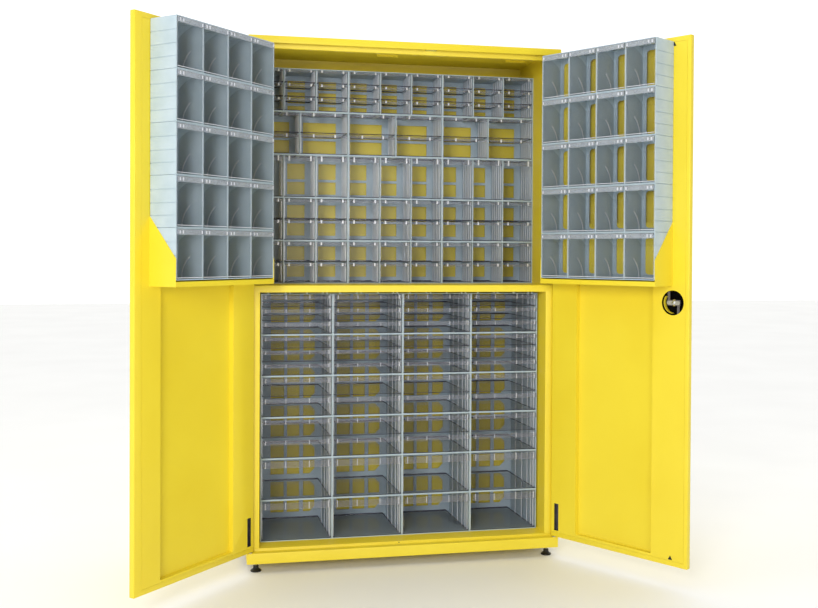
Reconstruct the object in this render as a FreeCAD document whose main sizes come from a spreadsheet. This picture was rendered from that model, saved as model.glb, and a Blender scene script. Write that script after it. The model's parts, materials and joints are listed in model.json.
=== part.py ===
import FreeCAD, Part
import Sketcher
import os
import re

# Tall two-door steel cabinet: an upper and a lower block of small-parts drawers in plastic housings,
# and a rack of tilting clear bins on the inside of each door. The doors are stored swung open.
# Frame: +Z up, floor at z = 0, origin below the middle of the carcass, front of the carcass towards -Y.

# Driving dimensions, in millimetres; the *_degrees values are angles and the *_count values are counts.
SIZES = {
    # carcass
    "cab_width": 1200,
    "cab_depth": 450,
    "cab_height": 1975,
    "sheet_gauge": 1.5,
    "floor_gap": 38,
    "plinth_height": 39,
    "deck_rise": 10,
    "roof_lip": 26,
    "frame_setback": 30,
    "stile_width": 22,
    "lower_inset": 47,
    "rail_drop": 15,
    "rail_flange": 20,
    "shelf_top": 1060,
    "shelf_lip": 26,
    # levelling feet
    "foot_inset_side": 35,
    "foot_inset_front": 43,
    "foot_radius": 20,
    "foot_rim": 6,
    "foot_cone": 7,
    "hub_radius": 10,
    "hub_top": 22,
    "stem_radius": 5,
    "stem_top": 58,
    "foot_plate": 70,
    "plate_gauge": 3,
    "locknut_width": 17,
    "locknut_height": 8,
    # doors
    "door_gap": 3,
    "door_thick": 21,
    "hinge_inset": 12.5,
    "hinge_setback": 13,
    "left_open_degrees": 132.1,
    "right_open_degrees": 122.4,
    "edge_return": 18,
    "left_return": 32,
    "right_return": 14,
    "hinge_channel": 116,
    "left_channel": 116,
    "right_channel": 145,
    "recess_border": 9,
    "seam_gap": 0.5,
    "slot_inset": 16,
    "slot_width": 20,
    "slot_height": 105,
    "slot_rise": 25,
    # pivot hinges
    "pin_radius": 3.5,
    "pin_length": 42,
    "pin_head_radius": 6,
    "pin_head": 3,
    "bush_wall": 1.5,
    "bush_flange": 1,
    "bush_length": 16,
    "washer_radius": 9,
    "fit_gap": 0.3,
    # rod lock in the right door
    "lock_inset": 64.5,
    "lock_height": 1011,
    "lock_window_radius": 44,
    "case_width": 92,
    "case_wall": 2,
    "case_depth": 16,
    "spindle_radius": 5,
    "rosette_radius": 26,
    "rosette_thick": 5,
    "hub_length": 17,
    "grip_hub_radius": 13,
    "grip_length": 96,
    "grip_width": 16,
    "grip_thick": 12,
    "cam_throw": 19,
    "cam_width": 14,
    "cam_thick": 3,
    "cam_stand": 4,
    "cam_boss_radius": 12,
    "crank_pin_radius": 3,
    "rod_width": 10,
    "rod_thick": 3,
    "rod_end_gap": 1,
    "rod_plate_height": 20,
    "rod_slot_run": 6,
    "rod_slot_play": 1,
    "guide_width": 24,
    "guide_height": 20,
    "guide_near": 250,
    "guide_end": 150,
    "keeper_width": 40,
    "keeper_thick": 2,
    # drawer blocks
    "lower_front": 109,
    "upper_front": 270,
    "lower_column_count": 4,
    "upper_column_count": 3,
    "shadow_gap": 8,
    "head_room": 42,
    "back_gap": 9.5,
    "upper_side_gap": 0.5,
    "lower_side_gap": 7.5,
    "housing_wall": 2.5,
    "tier_shelf": 2,
    "tier_setback": 14,
    "upper_window_side": 28,
    "upper_window_end": 22,
    "lower_window_side": 60,
    "lower_window_end": 14,
    "lower_window_width": 52,
    "lower_window_gap": 13,
    "lower_window_count": 3,
    "window_bar": 10,
    # drawers
    "drawer_wall": 2,
    "side_play": 0.8,
    "head_play": 2.5,
    "seat_gap": 0.3,
    "rear_play": 4,
    "lip_inset": 4,
    "lip_thick": 2.5,
    "lower_lip_reach": 20,
    "upper_lip_reach": 9,
    "lower_lip_drop": 11.5,
    "upper_lip_drop": 5,
    # door racks and tilt bins
    "rack_inset": 33,
    "rack_width": 495,
    "rack_depth": 111.5,
    "rack_column_count": 4,
    "rack_row_count": 5,
    "rack_head": 15,
    "rack_lift": 21.5,
    "rack_window_border": 15,
    "rack_window_radius": 13,
    "tray_clear": 10,
    "tray_lip": 17,
    "tray_side_back": 226,
    "tray_side_front": 90,
    "bin_toe": 4,
    "bin_arc_drop": 2,
    "bin_heel_rise": 14,
    "bin_rear_gap": 6,
    "bin_lip_reach": 6,
    "bin_lip_height": 18,
}

# Places and fits that follow from the driving dimensions.
DERIVED = {
    "front_y": "-cab_depth / 2",
    "frame_y": "front_y + frame_setback",
    "back_y": "cab_depth / 2 - sheet_gauge",
    "side_x": "cab_width / 2 - sheet_gauge",
    "stile_x": "cab_width / 2 - stile_width",
    "lower_x": "cab_width / 2 - lower_inset",
    "plinth_top": "floor_gap + plinth_height",
    "deck_top": "plinth_top + deck_rise",
    "roof_bottom": "cab_height - roof_lip",
    "roof_under": "cab_height - sheet_gauge",
    "foot_x": "cab_width / 2 - foot_inset_side",
    "foot_y": "cab_depth / 2 - foot_inset_front",
    "door_bottom": "plinth_top + door_gap",
    "door_top": "roof_bottom - door_gap",
    "door_height": "door_top - door_bottom",
    "door_width": "(cab_width - 3 * door_gap) / 2",
    "hinge_x": "cab_width / 2 - hinge_inset",
    "hinge_y": "front_y + hinge_setback",
    "edge_u": "door_gap - hinge_inset",
    "face_v": "-hinge_setback",
    "bush_radius": "pin_radius + fit_gap + bush_wall",
    "lock_u": "door_width - lock_inset",
    "cam_v": "sheet_gauge + case_wall + cam_stand",
    "rod_v": "cam_v + cam_thick + rod_end_gap",
    "rod_top": "door_top - rod_end_gap",
    "rod_bottom": "door_bottom + rod_end_gap",
    "lower_y": "front_y + lower_front",
    "upper_y": "front_y + upper_front",
    "lower_depth": "back_y - back_gap - lower_y",
    "upper_depth": "back_y - back_gap - upper_y",
    "lower_module": "2 * (lower_x - lower_side_gap) / lower_column_count",
    "upper_module": "2 * (stile_x - upper_side_gap) / upper_column_count",
    "tray_bottom": "shelf_top + tray_clear",
    "rack_bottom": "tray_bottom + rack_lift",
    "rack_row": "(door_top - rack_head - rack_bottom) / rack_row_count",
    "rack_cell": "(rack_width - housing_wall) / rack_column_count",
    "bin_width": "rack_cell - housing_wall - 2 * side_play",
    "bin_depth": "rack_depth - housing_wall - bin_rear_gap",
    "bin_height": "rack_row - 2 * housing_wall - seat_gap - head_play",
    "bin_arc_radius": "bin_height - bin_arc_drop",
}

# Drawer rows from the top down, as counts of columns and of tiers in a module.
UPPER_ROW_COUNTS = ((3, 3), (2, 2), (3, 1), (3, 2), (3, 2))
LOWER_ROW_COUNTS = ((1, 3), (1, 3), (1, 2), (1, 2), (1, 1), (1, 1))
LEAST_WINDOW_ROW_COUNT = 2
# Taller drawers have taller pull lips: the share of a drawer's height that its lip gains.
LIP_GROWTH_RATIO = 0.1

LEFT, RIGHT = 1, -1
DOORS = {LEFT: "left", RIGHT: "right"}
# Side of the lock spindle that a rod is on: upper rod towards the hinges, lower one towards the free edge.
HINGE_SIDE, FREE_SIDE = -1, 1

doc = FreeCAD.newDocument("DrawerCabinet")
sheet = doc.addObject("Spreadsheet::Sheet", "Sizes")
parts = []


def fill_sheet():
    """Write the driving values as plain numbers and the derived ones as formulas on them."""
    rows = [(name, str(number)) for name, number in SIZES.items()]
    rows += [(name, "=" + text) for name, text in DERIVED.items()]
    for line, (name, text) in enumerate(rows, start=1):
        sheet.set(f"A{line}", name)
        sheet.set(f"B{line}", text)
        sheet.setAlias(f"B{line}", name)
    doc.recompute()


def size(name):
    """The value of a cell, in millimetres, degrees or a count."""
    return float(sheet.get(name))


def bound(text):
    """A formula on cell names, as an expression that other objects can hold."""
    known = SIZES.keys() | DERIVED.keys()
    return re.sub(r"[a-z][a-z_]*", lambda word: "Sizes." * (word.group() in known) + word.group(), text)


def bind(piece, **formulas):
    """Tie properties to the sheet; x, y and z stand for the place of the piece."""
    for name, text in formulas.items():
        path = f"Placement.Base.{name}" if name in "xyz" else name
        piece.setExpression(path, bound(text))
    return piece


def box(name, x, y, z, length, width, height):
    """A block by its lowest corner and its three sizes."""
    piece = doc.addObject("Part::Box", name)
    return bind(piece, x=x, y=y, z=z, Length=length, Width=width, Height=height)


def rod(name, x, y, z, radius, height):
    """An upright cylinder by the middle of its foot."""
    piece = doc.addObject("Part::Cylinder", name)
    return bind(piece, x=x, y=y, z=z, Radius=radius, Height=height)


def shaft(name, x, y, z, radius, length):
    """A cylinder that runs along +Y from the middle of its front end."""
    piece = doc.addObject("Part::Cylinder", name)
    piece.Placement = FreeCAD.Placement(FreeCAD.Vector(), FreeCAD.Rotation(FreeCAD.Vector(1, 0, 0), -90))
    return bind(piece, x=x, y=y, z=z, Radius=radius, Height=length)


def axle(name, x, y, z, radius, length):
    """A cylinder that runs along +X from the middle of its left end."""
    piece = doc.addObject("Part::Cylinder", name)
    piece.Placement = FreeCAD.Placement(FreeCAD.Vector(), FreeCAD.Rotation(FreeCAD.Vector(0, 1, 0), 90))
    return bind(piece, x=x, y=y, z=z, Radius=radius, Height=length)


def fuse(name, *pieces):
    """One solid of several that meet or overlap."""
    joined = doc.addObject("Part::MultiFuse", name)
    joined.Shapes = list(pieces)
    joined.Refine = True
    return joined


def cut(name, base, *tools):
    """A solid less its cut-outs."""
    hole = tools[0] if len(tools) == 1 else fuse(name + "_cuts", *tools)
    rest = doc.addObject("Part::Cut", name)
    rest.Base = base
    rest.Tool = hole
    rest.Refine = True
    return rest


def part(label, piece):
    """Name a finished sub-part and put it on the list that is written out."""
    piece.Label = label
    parts.append(piece)
    return piece


def group(label, shapes):
    """A sub-part made of several separate solids."""
    node = doc.addObject("Part::Feature", label)
    node.Shape = Part.makeCompound(shapes)
    return part(label, node)


def moved(piece, x, y, z):
    """A copy of a finished piece's shape, shifted."""
    return piece.Shape.translated(FreeCAD.Vector(x, y, z))


def span(hand, start, length):
    """The low end of a stretch that lies start..start+length out from the middle, on either hand."""
    return start if hand == 1 else f"-({start}) - ({length})"


def carcass():
    """Base, sides, back, roof, door-stop rail, shelf and liners, all folded sheet that meets face to face."""
    for hand, side in ((-1, "left"), (1, "right")):
        wall = box(f"{side}_wall", span(hand, "side_x", "sheet_gauge"), "frame_y", "deck_top",
                   "sheet_gauge", "back_y - frame_y", "roof_bottom - deck_top")
        stile = box(f"{side}_stile", span(hand, "stile_x", "stile_width"), "frame_y", "deck_top",
                    "stile_width", "sheet_gauge", "roof_bottom - deck_top")
        part(f"{side}_side_panel", fuse(f"{side}_panel_folded", wall, stile))
    part("back_panel", box("back_sheet", "-cab_width / 2", "back_y", "deck_top",
                           "cab_width", "sheet_gauge", "roof_bottom - deck_top"))
    top_rail()
    middle_shelf()
    liners()
    part("roof_cap", roof())
    part("base_tray", base())


def roof():
    """Roof pan, open below, with a welded plate in each front corner for the upper hinge pin."""
    pan = box("roof_block", "-cab_width / 2", "front_y", "roof_bottom", "cab_width", "cab_depth", "roof_lip")
    hollow = box("roof_hollow", "-side_x", "front_y + sheet_gauge", "roof_bottom",
                 "2 * side_x", "cab_depth - 2 * sheet_gauge", "roof_lip - sheet_gauge")
    shell = cut("roof_pan", pan, hollow)
    plates, holes = [], []
    for hand, side in ((-1, "left"), (1, "right")):
        plates.append(box(f"roof_plate_{side}", span(hand, "stile_x", "side_x - stile_x"),
                          "front_y + sheet_gauge", "roof_bottom",
                          "side_x - stile_x", "frame_setback - sheet_gauge", "plate_gauge"))
        holes.append(rod(f"roof_pin_hole_{side}", f"{hand} * hinge_x", "hinge_y", "roof_bottom",
                         "pin_radius + fit_gap", "plate_gauge"))
    return cut("roof_drilled", fuse("roof_plated", shell, *plates), *holes)


def base():
    """Stepped base pan: plinth front, low ledge under the doors, stop riser and the deck behind it."""
    block = box("base_block", "-cab_width / 2", "front_y", "floor_gap",
                "cab_width", "cab_depth", "deck_top - floor_gap")
    step = box("base_step", "-cab_width / 2", "front_y", "plinth_top",
               "cab_width", "frame_setback", "deck_rise")
    under_ledge = box("base_hollow_front", "-side_x", "front_y + sheet_gauge", "floor_gap",
                      "2 * side_x", "frame_setback", "plinth_height - sheet_gauge")
    under_deck = box("base_hollow_rear", "-side_x", "frame_y + sheet_gauge", "floor_gap",
                     "2 * side_x", "back_y - frame_y - sheet_gauge", "deck_top - floor_gap - sheet_gauge")
    shell = cut("base_pan", block, step, under_ledge, under_deck)
    plates, holes = [], []
    for hand, side in ((-1, "left"), (1, "right")):
        for end, place in ((-1, "front"), (1, "rear")):
            plates.append(box(f"foot_plate_{side}_{place}", span(hand, "side_x - foot_plate", "foot_plate"),
                              span(end, "back_y - foot_plate", "foot_plate"), "floor_gap",
                              "foot_plate", "foot_plate", "plate_gauge"))
            holes.append(rod(f"foot_hole_{side}_{place}", f"{hand} * foot_x", f"{end} * foot_y", "floor_gap",
                             "stem_radius + fit_gap", "plate_gauge"))
        holes.append(rod(f"base_pin_hole_{side}", f"{hand} * hinge_x", "hinge_y", "plinth_top - sheet_gauge",
                         "pin_radius + fit_gap", "sheet_gauge"))
    holes.append(rod_passage("base_rod_hole", FREE_SIDE, "plinth_top - sheet_gauge", "sheet_gauge"))
    return cut("base_drilled", fuse("base_plated", shell, *plates), *holes)


def rod_passage(name, sign, z, height):
    """Rectangular hole in the carcass where a lock rod of the closed right door goes through."""
    middle = f"hinge_x - edge_u - lock_u - ({sign}) * cam_throw"
    return box(name, f"{middle} - rod_width / 2 - rod_end_gap", "front_y + rod_v - rod_end_gap", z,
               "rod_width + 2 * rod_end_gap", "rod_thick + 2 * rod_end_gap", height)


def top_rail():
    """Door-stop rail under the roof, with a flange that turns back into the cabinet."""
    web = box("rail_web", "-stile_x", "frame_y", "roof_bottom - rail_drop",
              "2 * stile_x", "sheet_gauge", "roof_under - roof_bottom + rail_drop")
    flange = box("rail_flange_fold", "-stile_x", "frame_y", "roof_bottom - rail_drop",
                 "2 * stile_x", "rail_flange", "sheet_gauge")
    part("top_stop_rail", fuse("rail_folded", web, flange))


def middle_shelf():
    """Fixed shelf between the two drawer blocks, its front edge folded down as a stop for the doors."""
    deck = box("shelf_deck", "-side_x", "frame_y + sheet_gauge", "shelf_top - sheet_gauge",
               "2 * side_x", "back_y - frame_y - sheet_gauge", "sheet_gauge")
    lip = box("shelf_front", "-stile_x", "frame_y", "shelf_top - shelf_lip",
              "2 * stile_x", "sheet_gauge", "shelf_lip")
    part("middle_shelf", fuse("shelf_folded", deck, lip))


def liners():
    """Inner side walls: plain above the shelf, with a wide front flange below it."""
    walls = []
    for hand, side in ((-1, "left"), (1, "right")):
        walls.append(box(f"upper_liner_{side}", span(hand, "stile_x", "sheet_gauge"),
                         "frame_y + sheet_gauge", "shelf_top",
                         "sheet_gauge", "back_y - frame_y - sheet_gauge", "roof_under - shelf_top"))
        wall = box(f"lower_wall_{side}", span(hand, "lower_x", "sheet_gauge"), "frame_y", "deck_top",
                   "sheet_gauge", "back_y - frame_y", "shelf_top - shelf_lip - deck_top")
        face = box(f"lower_face_{side}", span(hand, "lower_x", "stile_x - lower_x"), "frame_y", "deck_top",
                   "stile_x - lower_x", "sheet_gauge", "shelf_top - shelf_lip - deck_top")
        walls.append(fuse(f"lower_liner_{side}", wall, face))
    doc.recompute()
    group("side_liners", [wall.Shape for wall in walls])


def feet():
    """Four levelling feet, screwed through the corner plates and locked by nuts below them."""
    pad = rod("foot_pad", "0", "0", "0", "foot_radius", "foot_rim")
    cone = doc.addObject("Part::Cone", "foot_shoulder")
    bind(cone, z="foot_rim", Radius1="foot_radius", Radius2="hub_radius", Height="foot_cone")
    hub = rod("foot_hub", "0", "0", "0", "hub_radius", "hub_top")
    stem = rod("foot_stem", "0", "0", "hub_top", "stem_radius", "stem_top - hub_top")
    foot = fuse("foot", pad, cone, hub, stem)
    hexagon = doc.addObject("Part::Prism", "locknut_body")
    hexagon.Polygon = 6
    bind(hexagon, z="floor_gap - locknut_height", Circumradius="locknut_width / sqrt(3)",
         Height="locknut_height")
    thread = rod("locknut_bore", "0", "0", "floor_gap - locknut_height",
                 "stem_radius + fit_gap / 2", "locknut_height")
    nut = cut("locknut", hexagon, thread)
    doc.recompute()
    places = [(x * size("foot_x"), y * size("foot_y"), 0) for x in (-1, 1) for y in (-1, 1)]
    group("levelling_feet", [moved(foot, *place) for place in places])
    group("foot_locknuts", [moved(nut, *place) for place in places])


def hinge_pins():
    """Pivot pins that stand up from the base ledge and hang down from the roof, with their thrust washers."""
    shank = rod("pin_shank", "0", "0", "-sheet_gauge", "pin_radius", "pin_length")
    head = rod("pin_head_disc", "0", "0", "-sheet_gauge - pin_head", "pin_head_radius", "pin_head")
    lower_pin = fuse("lower_pin", shank, head)
    hanging = rod("pin_hanger", "0", "0", "plate_gauge - pin_length", "pin_radius", "pin_length")
    cap = rod("pin_cap", "0", "0", "plate_gauge", "pin_head_radius", "pin_head")
    upper_pin = fuse("upper_pin", hanging, cap)
    disc = rod("washer_disc", "0", "0", "0", "washer_radius", "door_gap - 2 * fit_gap")
    eye = rod("washer_eye", "0", "0", "0", "pin_radius + fit_gap", "door_gap")
    washer = cut("washer", disc, eye)
    doc.recompute()
    x, y = size("hinge_x"), size("hinge_y")
    ledge, plate = size("plinth_top"), size("roof_bottom")
    group("hinge_pins", [moved(pin, hand * x, y, z) for hand in (-1, 1)
                         for pin, z in ((lower_pin, ledge), (upper_pin, plate))])
    group("hinge_washers", [moved(washer, hand * x, y, ledge) for hand in (-1, 1)])


def hang(hand, label, piece):
    """Swing a door piece, modelled shut about its own hinge axis, to the open position it is kept in."""
    piece.Placement = FreeCAD.Placement(FreeCAD.Vector(), FreeCAD.Rotation(FreeCAD.Vector(0, 0, 1), 1))
    bind(piece, x=f"{-hand} * hinge_x", y="hinge_y")
    turn = bound(f"{-hand} * {DOORS[hand]}_open_degrees")
    piece.setExpression("Placement.Rotation.Angle", turn)
    return part(label, piece)


def door_box(hand, name, u, v, z, length, depth, height):
    """A block on a door: u from its hinge edge, v from its outer face, z from the floor."""
    return box(name, span(hand, f"edge_u + {u}", length), f"face_v + {v}", z, length, depth, height)


def door_shaft(name, u, v, z, radius, length):
    """A cylinder through the right door, along its thickness."""
    return shaft(name, f"-(edge_u + {u})", f"face_v + {v}", z, radius, length)


def door_panel(hand):
    """Outer door sheet with folded edges; the returns leave a window that the liner fills."""
    side = DOORS[hand]
    block = door_box(hand, f"{side}_door_block", "0", "0", "door_bottom",
                     "door_width", "door_thick", "door_height")
    hollow = door_box(hand, f"{side}_door_hollow", "sheet_gauge", "sheet_gauge", "door_bottom + sheet_gauge",
                      "door_width - 2 * sheet_gauge", "door_thick - 2 * sheet_gauge",
                      "door_height - 2 * sheet_gauge")
    window = door_box(hand, f"{side}_door_window", "sheet_gauge", "sheet_gauge", "door_bottom + edge_return",
                      f"door_width - sheet_gauge - {side}_return", "door_thick",
                      "door_height - 2 * edge_return")
    holes = [rod(f"{side}_bush_hole_{end}", "0", "0", z, "bush_radius + fit_gap / 2", "sheet_gauge")
             for end, z in (("low", "door_bottom"), ("high", "door_top - sheet_gauge"))]
    if hand == RIGHT:
        holes.append(door_shaft("spindle_hole", "lock_u", "0", "lock_height",
                                "spindle_radius + fit_gap", "sheet_gauge"))
        holes.append(rod_gap("upper_rod_exit", HINGE_SIDE, "door_top - sheet_gauge", "sheet_gauge"))
        holes.append(rod_gap("lower_rod_exit", FREE_SIDE, "door_bottom", "sheet_gauge"))
    hang(hand, f"{side}_door_panel", cut(f"{side}_door_pan", block, hollow, window, *holes))


def door_liner(hand):
    """Inner door sheet round a deep recess, whose rim stands on the outer sheet."""
    side = DOORS[hand]
    recess_length = f"door_width - hinge_channel - {side}_channel"
    low, high = "door_bottom + edge_return", "door_top - edge_return"
    sheet_face = door_box(hand, f"{side}_liner_face", "sheet_gauge + seam_gap", "door_thick - sheet_gauge",
                          f"{low} + seam_gap",
                          f"door_width - sheet_gauge - {side}_return - 2 * seam_gap", "sheet_gauge",
                          "door_height - 2 * edge_return - 2 * seam_gap")
    rim = door_box(hand, f"{side}_recess_rim", "hinge_channel - sheet_gauge", "sheet_gauge",
                   f"{low} + recess_border - sheet_gauge",
                   f"{recess_length} + 2 * sheet_gauge", "door_thick - sheet_gauge",
                   "door_height - 2 * edge_return - 2 * recess_border + 2 * sheet_gauge")
    recess = door_box(hand, f"{side}_recess", "hinge_channel", "sheet_gauge", f"{low} + recess_border",
                      recess_length, "door_thick", "door_height - 2 * edge_return - 2 * recess_border")
    slots = [door_box(hand, f"{side}_hinge_slot_{end}", "slot_inset", "door_thick - sheet_gauge", z,
                      "slot_width", "sheet_gauge", "slot_height")
             for end, z in (("low", "door_bottom + slot_rise"),
                            ("high", "door_top - slot_rise - slot_height"))]
    openings = [recess, *slots]
    if hand == RIGHT:
        openings.append(door_shaft("lock_window", "lock_u", "door_thick - sheet_gauge", "lock_height",
                                   "lock_window_radius", "sheet_gauge"))
    hang(hand, f"{side}_door_liner",
         cut(f"{side}_liner_cut", fuse(f"{side}_liner_folded", sheet_face, rim), *openings))


def hinge_bushes(hand):
    """Flanged bushes in the top and bottom edges of a door, one round each pivot pin."""
    side = DOORS[hand]
    low = [rod(f"{side}_low_bush_body", "0", "0", "door_bottom - fit_gap", "bush_radius", "bush_length"),
           rod(f"{side}_low_bush_flange", "0", "0", "door_bottom + sheet_gauge",
               "bush_radius + bush_flange", "bush_flange")]
    high = [rod(f"{side}_high_bush_body", "0", "0", "door_top + fit_gap - bush_length",
                "bush_radius", "bush_length"),
            rod(f"{side}_high_bush_flange", "0", "0", "door_top - sheet_gauge - bush_flange",
                "bush_radius + bush_flange", "bush_flange")]
    bores = [rod(f"{side}_low_bush_bore", "0", "0", "door_bottom - fit_gap",
                 "pin_radius + fit_gap", "bush_length"),
             rod(f"{side}_high_bush_bore", "0", "0", "door_top + fit_gap - bush_length",
                 "pin_radius + fit_gap", "bush_length")]
    solids = [cut(f"{side}_low_bush", fuse(f"{side}_low_bush_solid", *low), bores[0]),
              cut(f"{side}_high_bush", fuse(f"{side}_high_bush_solid", *high), bores[1])]
    doc.recompute()
    hang_group(hand, f"{side}_hinge_bushes", [solid.Shape for solid in solids])


def hang_group(hand, label, shapes):
    """Several separate solids on a door, as one sub-part."""
    node = doc.addObject("Part::Feature", label)
    node.Shape = Part.makeCompound(shapes)
    return hang(hand, label, node)


def rod_gap(name, sign, z, height):
    """Room round a lock rod where it passes through a wall of the right door."""
    return door_box(RIGHT, name, f"lock_u + ({sign}) * cam_throw - rod_width / 2 - fit_gap",
                    "rod_v - fit_gap", z, "rod_width + 2 * fit_gap", "rod_thick + 2 * fit_gap", height)


def lock_case():
    """Shallow tub behind the right door's round window, slotted for the rods and drilled for the spindle."""
    tub = door_box(RIGHT, "case_block", "lock_u - case_width / 2", "sheet_gauge",
                   "lock_height - case_width / 2", "case_width", "case_depth", "case_width")
    hollow = door_box(RIGHT, "case_hollow", "lock_u - case_width / 2 + case_wall", "sheet_gauge + case_wall",
                      "lock_height - case_width / 2 + case_wall",
                      "case_width - 2 * case_wall", "case_depth", "case_width - 2 * case_wall")
    hole = door_shaft("case_spindle_hole", "lock_u", "sheet_gauge", "lock_height",
                      "spindle_radius + fit_gap", "case_wall")
    upper = rod_gap("case_upper_slot", HINGE_SIDE, "lock_height + case_width / 2 - case_wall", "case_wall")
    lower = rod_gap("case_lower_slot", FREE_SIDE, "lock_height - case_width / 2", "case_wall")
    hang(RIGHT, "lock_case", cut("case_tub", tub, hollow, hole, upper, lower))


def lock_rosette():
    """Round plate under the outside handle."""
    disc = door_shaft("rosette_disc", "lock_u", "-rosette_thick", "lock_height",
                      "rosette_radius", "rosette_thick")
    eye = door_shaft("rosette_eye", "lock_u", "-rosette_thick", "lock_height",
                     "spindle_radius + fit_gap", "rosette_thick")
    hang(RIGHT, "lock_rosette", cut("rosette_ring", disc, eye))


def lock_handle():
    """Outside T handle with the spindle that reaches through the door to the cam."""
    hub = door_shaft("handle_hub", "lock_u", "-rosette_thick - fit_gap - hub_length", "lock_height",
                     "grip_hub_radius", "hub_length")
    grip = door_box(RIGHT, "handle_grip", "lock_u - grip_length / 2",
                    "-rosette_thick - fit_gap - hub_length - grip_thick", "lock_height - grip_width / 2",
                    "grip_length", "grip_thick", "grip_width")
    spindle = door_shaft("handle_spindle", "lock_u", "-rosette_thick - fit_gap", "lock_height",
                         "spindle_radius", "rosette_thick + fit_gap + cam_v")
    hang(RIGHT, "lock_handle", fuse("handle_solid", hub, grip, spindle))


def lock_cam():
    """Flat cam on the spindle, with a crank pin at each end for a rod."""
    bar = door_box(RIGHT, "cam_bar", "lock_u - cam_throw - cam_width / 2", "cam_v",
                   "lock_height - cam_width / 2", "2 * cam_throw + cam_width", "cam_thick", "cam_width")
    boss = door_shaft("cam_boss", "lock_u", "cam_v", "lock_height", "cam_boss_radius", "cam_thick")
    pins = [door_shaft(f"crank_pin_{end}", f"lock_u + ({sign}) * cam_throw", "cam_v + cam_thick",
                       "lock_height", "crank_pin_radius", "rod_end_gap + rod_thick")
            for end, sign in (("inner", HINGE_SIDE), ("outer", FREE_SIDE))]
    hang(RIGHT, "lock_cam", fuse("cam_solid", bar, boss, *pins))


def lock_rod(name, sign, low, high):
    """A flat rod whose slotted end plate sits over one crank pin; sign is its side of the spindle."""
    middle = f"lock_u + ({sign}) * cam_throw"
    slot_half = "crank_pin_radius + rod_slot_play"
    outward = "0" if sign == HINGE_SIDE else "rod_slot_run"
    plate_edge = f"{slot_half} + rod_thick"
    bar = door_box(RIGHT, f"{name}_bar", f"{middle} - rod_width / 2", "rod_v", low,
                   "rod_width", "rod_thick", f"{high} - ({low})")
    plate = door_box(RIGHT, f"{name}_plate", f"{middle} - ({plate_edge}) - {outward}", "rod_v",
                     "lock_height - rod_plate_height / 2",
                     f"2 * ({plate_edge}) + rod_slot_run", "rod_thick", "rod_plate_height")
    slot = door_box(RIGHT, f"{name}_slot", f"{middle} - ({slot_half}) - {outward}", "rod_v",
                    f"lock_height - ({slot_half})",
                    f"2 * ({slot_half}) + rod_slot_run", "rod_thick", f"2 * ({slot_half})")
    hang(RIGHT, name, cut(f"{name}_slotted", fuse(f"{name}_blank", bar, plate), slot))


def rod_guides():
    """Blocks on the outer sheet of the right door that the two rods slide through."""
    blocks = []
    for name, sign, middle in (("upper_guide_near", HINGE_SIDE, "lock_height + guide_near"),
                               ("upper_guide_end", HINGE_SIDE, "door_top - guide_end"),
                               ("lower_guide_near", FREE_SIDE, "lock_height - guide_near"),
                               ("lower_guide_end", FREE_SIDE, "door_bottom + guide_end")):
        z = f"{middle} - guide_height / 2"
        block = door_box(RIGHT, f"{name}_block", f"lock_u + ({sign}) * cam_throw - guide_width / 2",
                         "sheet_gauge", z, "guide_width", "case_depth", "guide_height")
        blocks.append(cut(name, block, rod_gap(f"{name}_passage", sign, z, "guide_height")))
    doc.recompute()
    hang_group(RIGHT, "rod_guides", [block.Shape for block in blocks])


def rod_keepers():
    """Slotted plates that take the rod ends when the doors are shut and locked."""
    keepers = []
    for name, sign, z in (("upper_keeper", HINGE_SIDE, "roof_bottom"),
                          ("lower_keeper", FREE_SIDE, "plinth_top - sheet_gauge - keeper_thick")):
        middle = f"hinge_x - edge_u - lock_u - ({sign}) * cam_throw"
        plate = box(f"{name}_plate", f"{middle} - keeper_width / 2", "front_y + sheet_gauge", z,
                    "keeper_width", "frame_setback - sheet_gauge", "keeper_thick")
        keepers.append(cut(name, plate, rod_passage(f"{name}_slot", sign, z, "keeper_thick")))
    doc.recompute()
    group("rod_keepers", [keeper.Shape for keeper in keepers])


def rack_tray(hand):
    """Folded tray that carries a rack on its door: back, floor, low front lip and two sloping cheeks."""
    side = DOORS[hand]
    width = "rack_width + 2 * sheet_gauge + 2 * seam_gap"
    depth = "rack_depth + 2 * sheet_gauge"
    start = "rack_inset - sheet_gauge - seam_gap"
    wedge = doc.addObject("Part::Wedge", f"{side}_tray_cheeks")
    bind(wedge, x=span(hand, f"edge_u + {start}", width), y="face_v + door_thick", z="tray_bottom",
         Xmin="0", Xmax=width, X2min="0", X2max=width, Ymin="0", Ymax=depth,
         Zmin="0", Zmax="tray_side_back", Z2min="0", Z2max="tray_side_front")
    inside = door_box(hand, f"{side}_tray_inside", f"{start} + sheet_gauge", "door_thick + sheet_gauge",
                      "tray_bottom + sheet_gauge", f"{width} - 2 * sheet_gauge", "rack_depth",
                      "tray_side_back")
    front = door_box(hand, f"{side}_tray_front", f"{start} + sheet_gauge", "door_thick + sheet_gauge",
                     "tray_bottom + tray_lip", f"{width} - 2 * sheet_gauge", f"{depth}", "tray_side_back")
    hang(hand, f"{side}_rack_tray", cut(f"{side}_tray_folded", wedge, inside, front))


def rack_master():
    """One rack housing: a row of open-fronted cells, each with a window in its back; front towards +Y."""
    block = box("rack_block", "0", "0", "0", "rack_width", "rack_depth", "rack_row")
    cuts = []
    for column in range(int(size("rack_column_count"))):
        left = f"housing_wall + {column} * rack_cell"
        cuts.append(box(f"rack_cell_{column}", left, "housing_wall", "housing_wall",
                        "rack_cell - housing_wall", "rack_depth", "rack_row - 2 * housing_wall"))
        cuts.append(rounded_window(f"rack_window_{column}", f"{left} + rack_window_border",
                                   "housing_wall + rack_window_border",
                                   "(rack_cell - housing_wall - 2 * rack_window_border)",
                                   "(rack_row - 2 * housing_wall - 2 * rack_window_border)"))
    return cut("rack_housing", block, *cuts)


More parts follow.
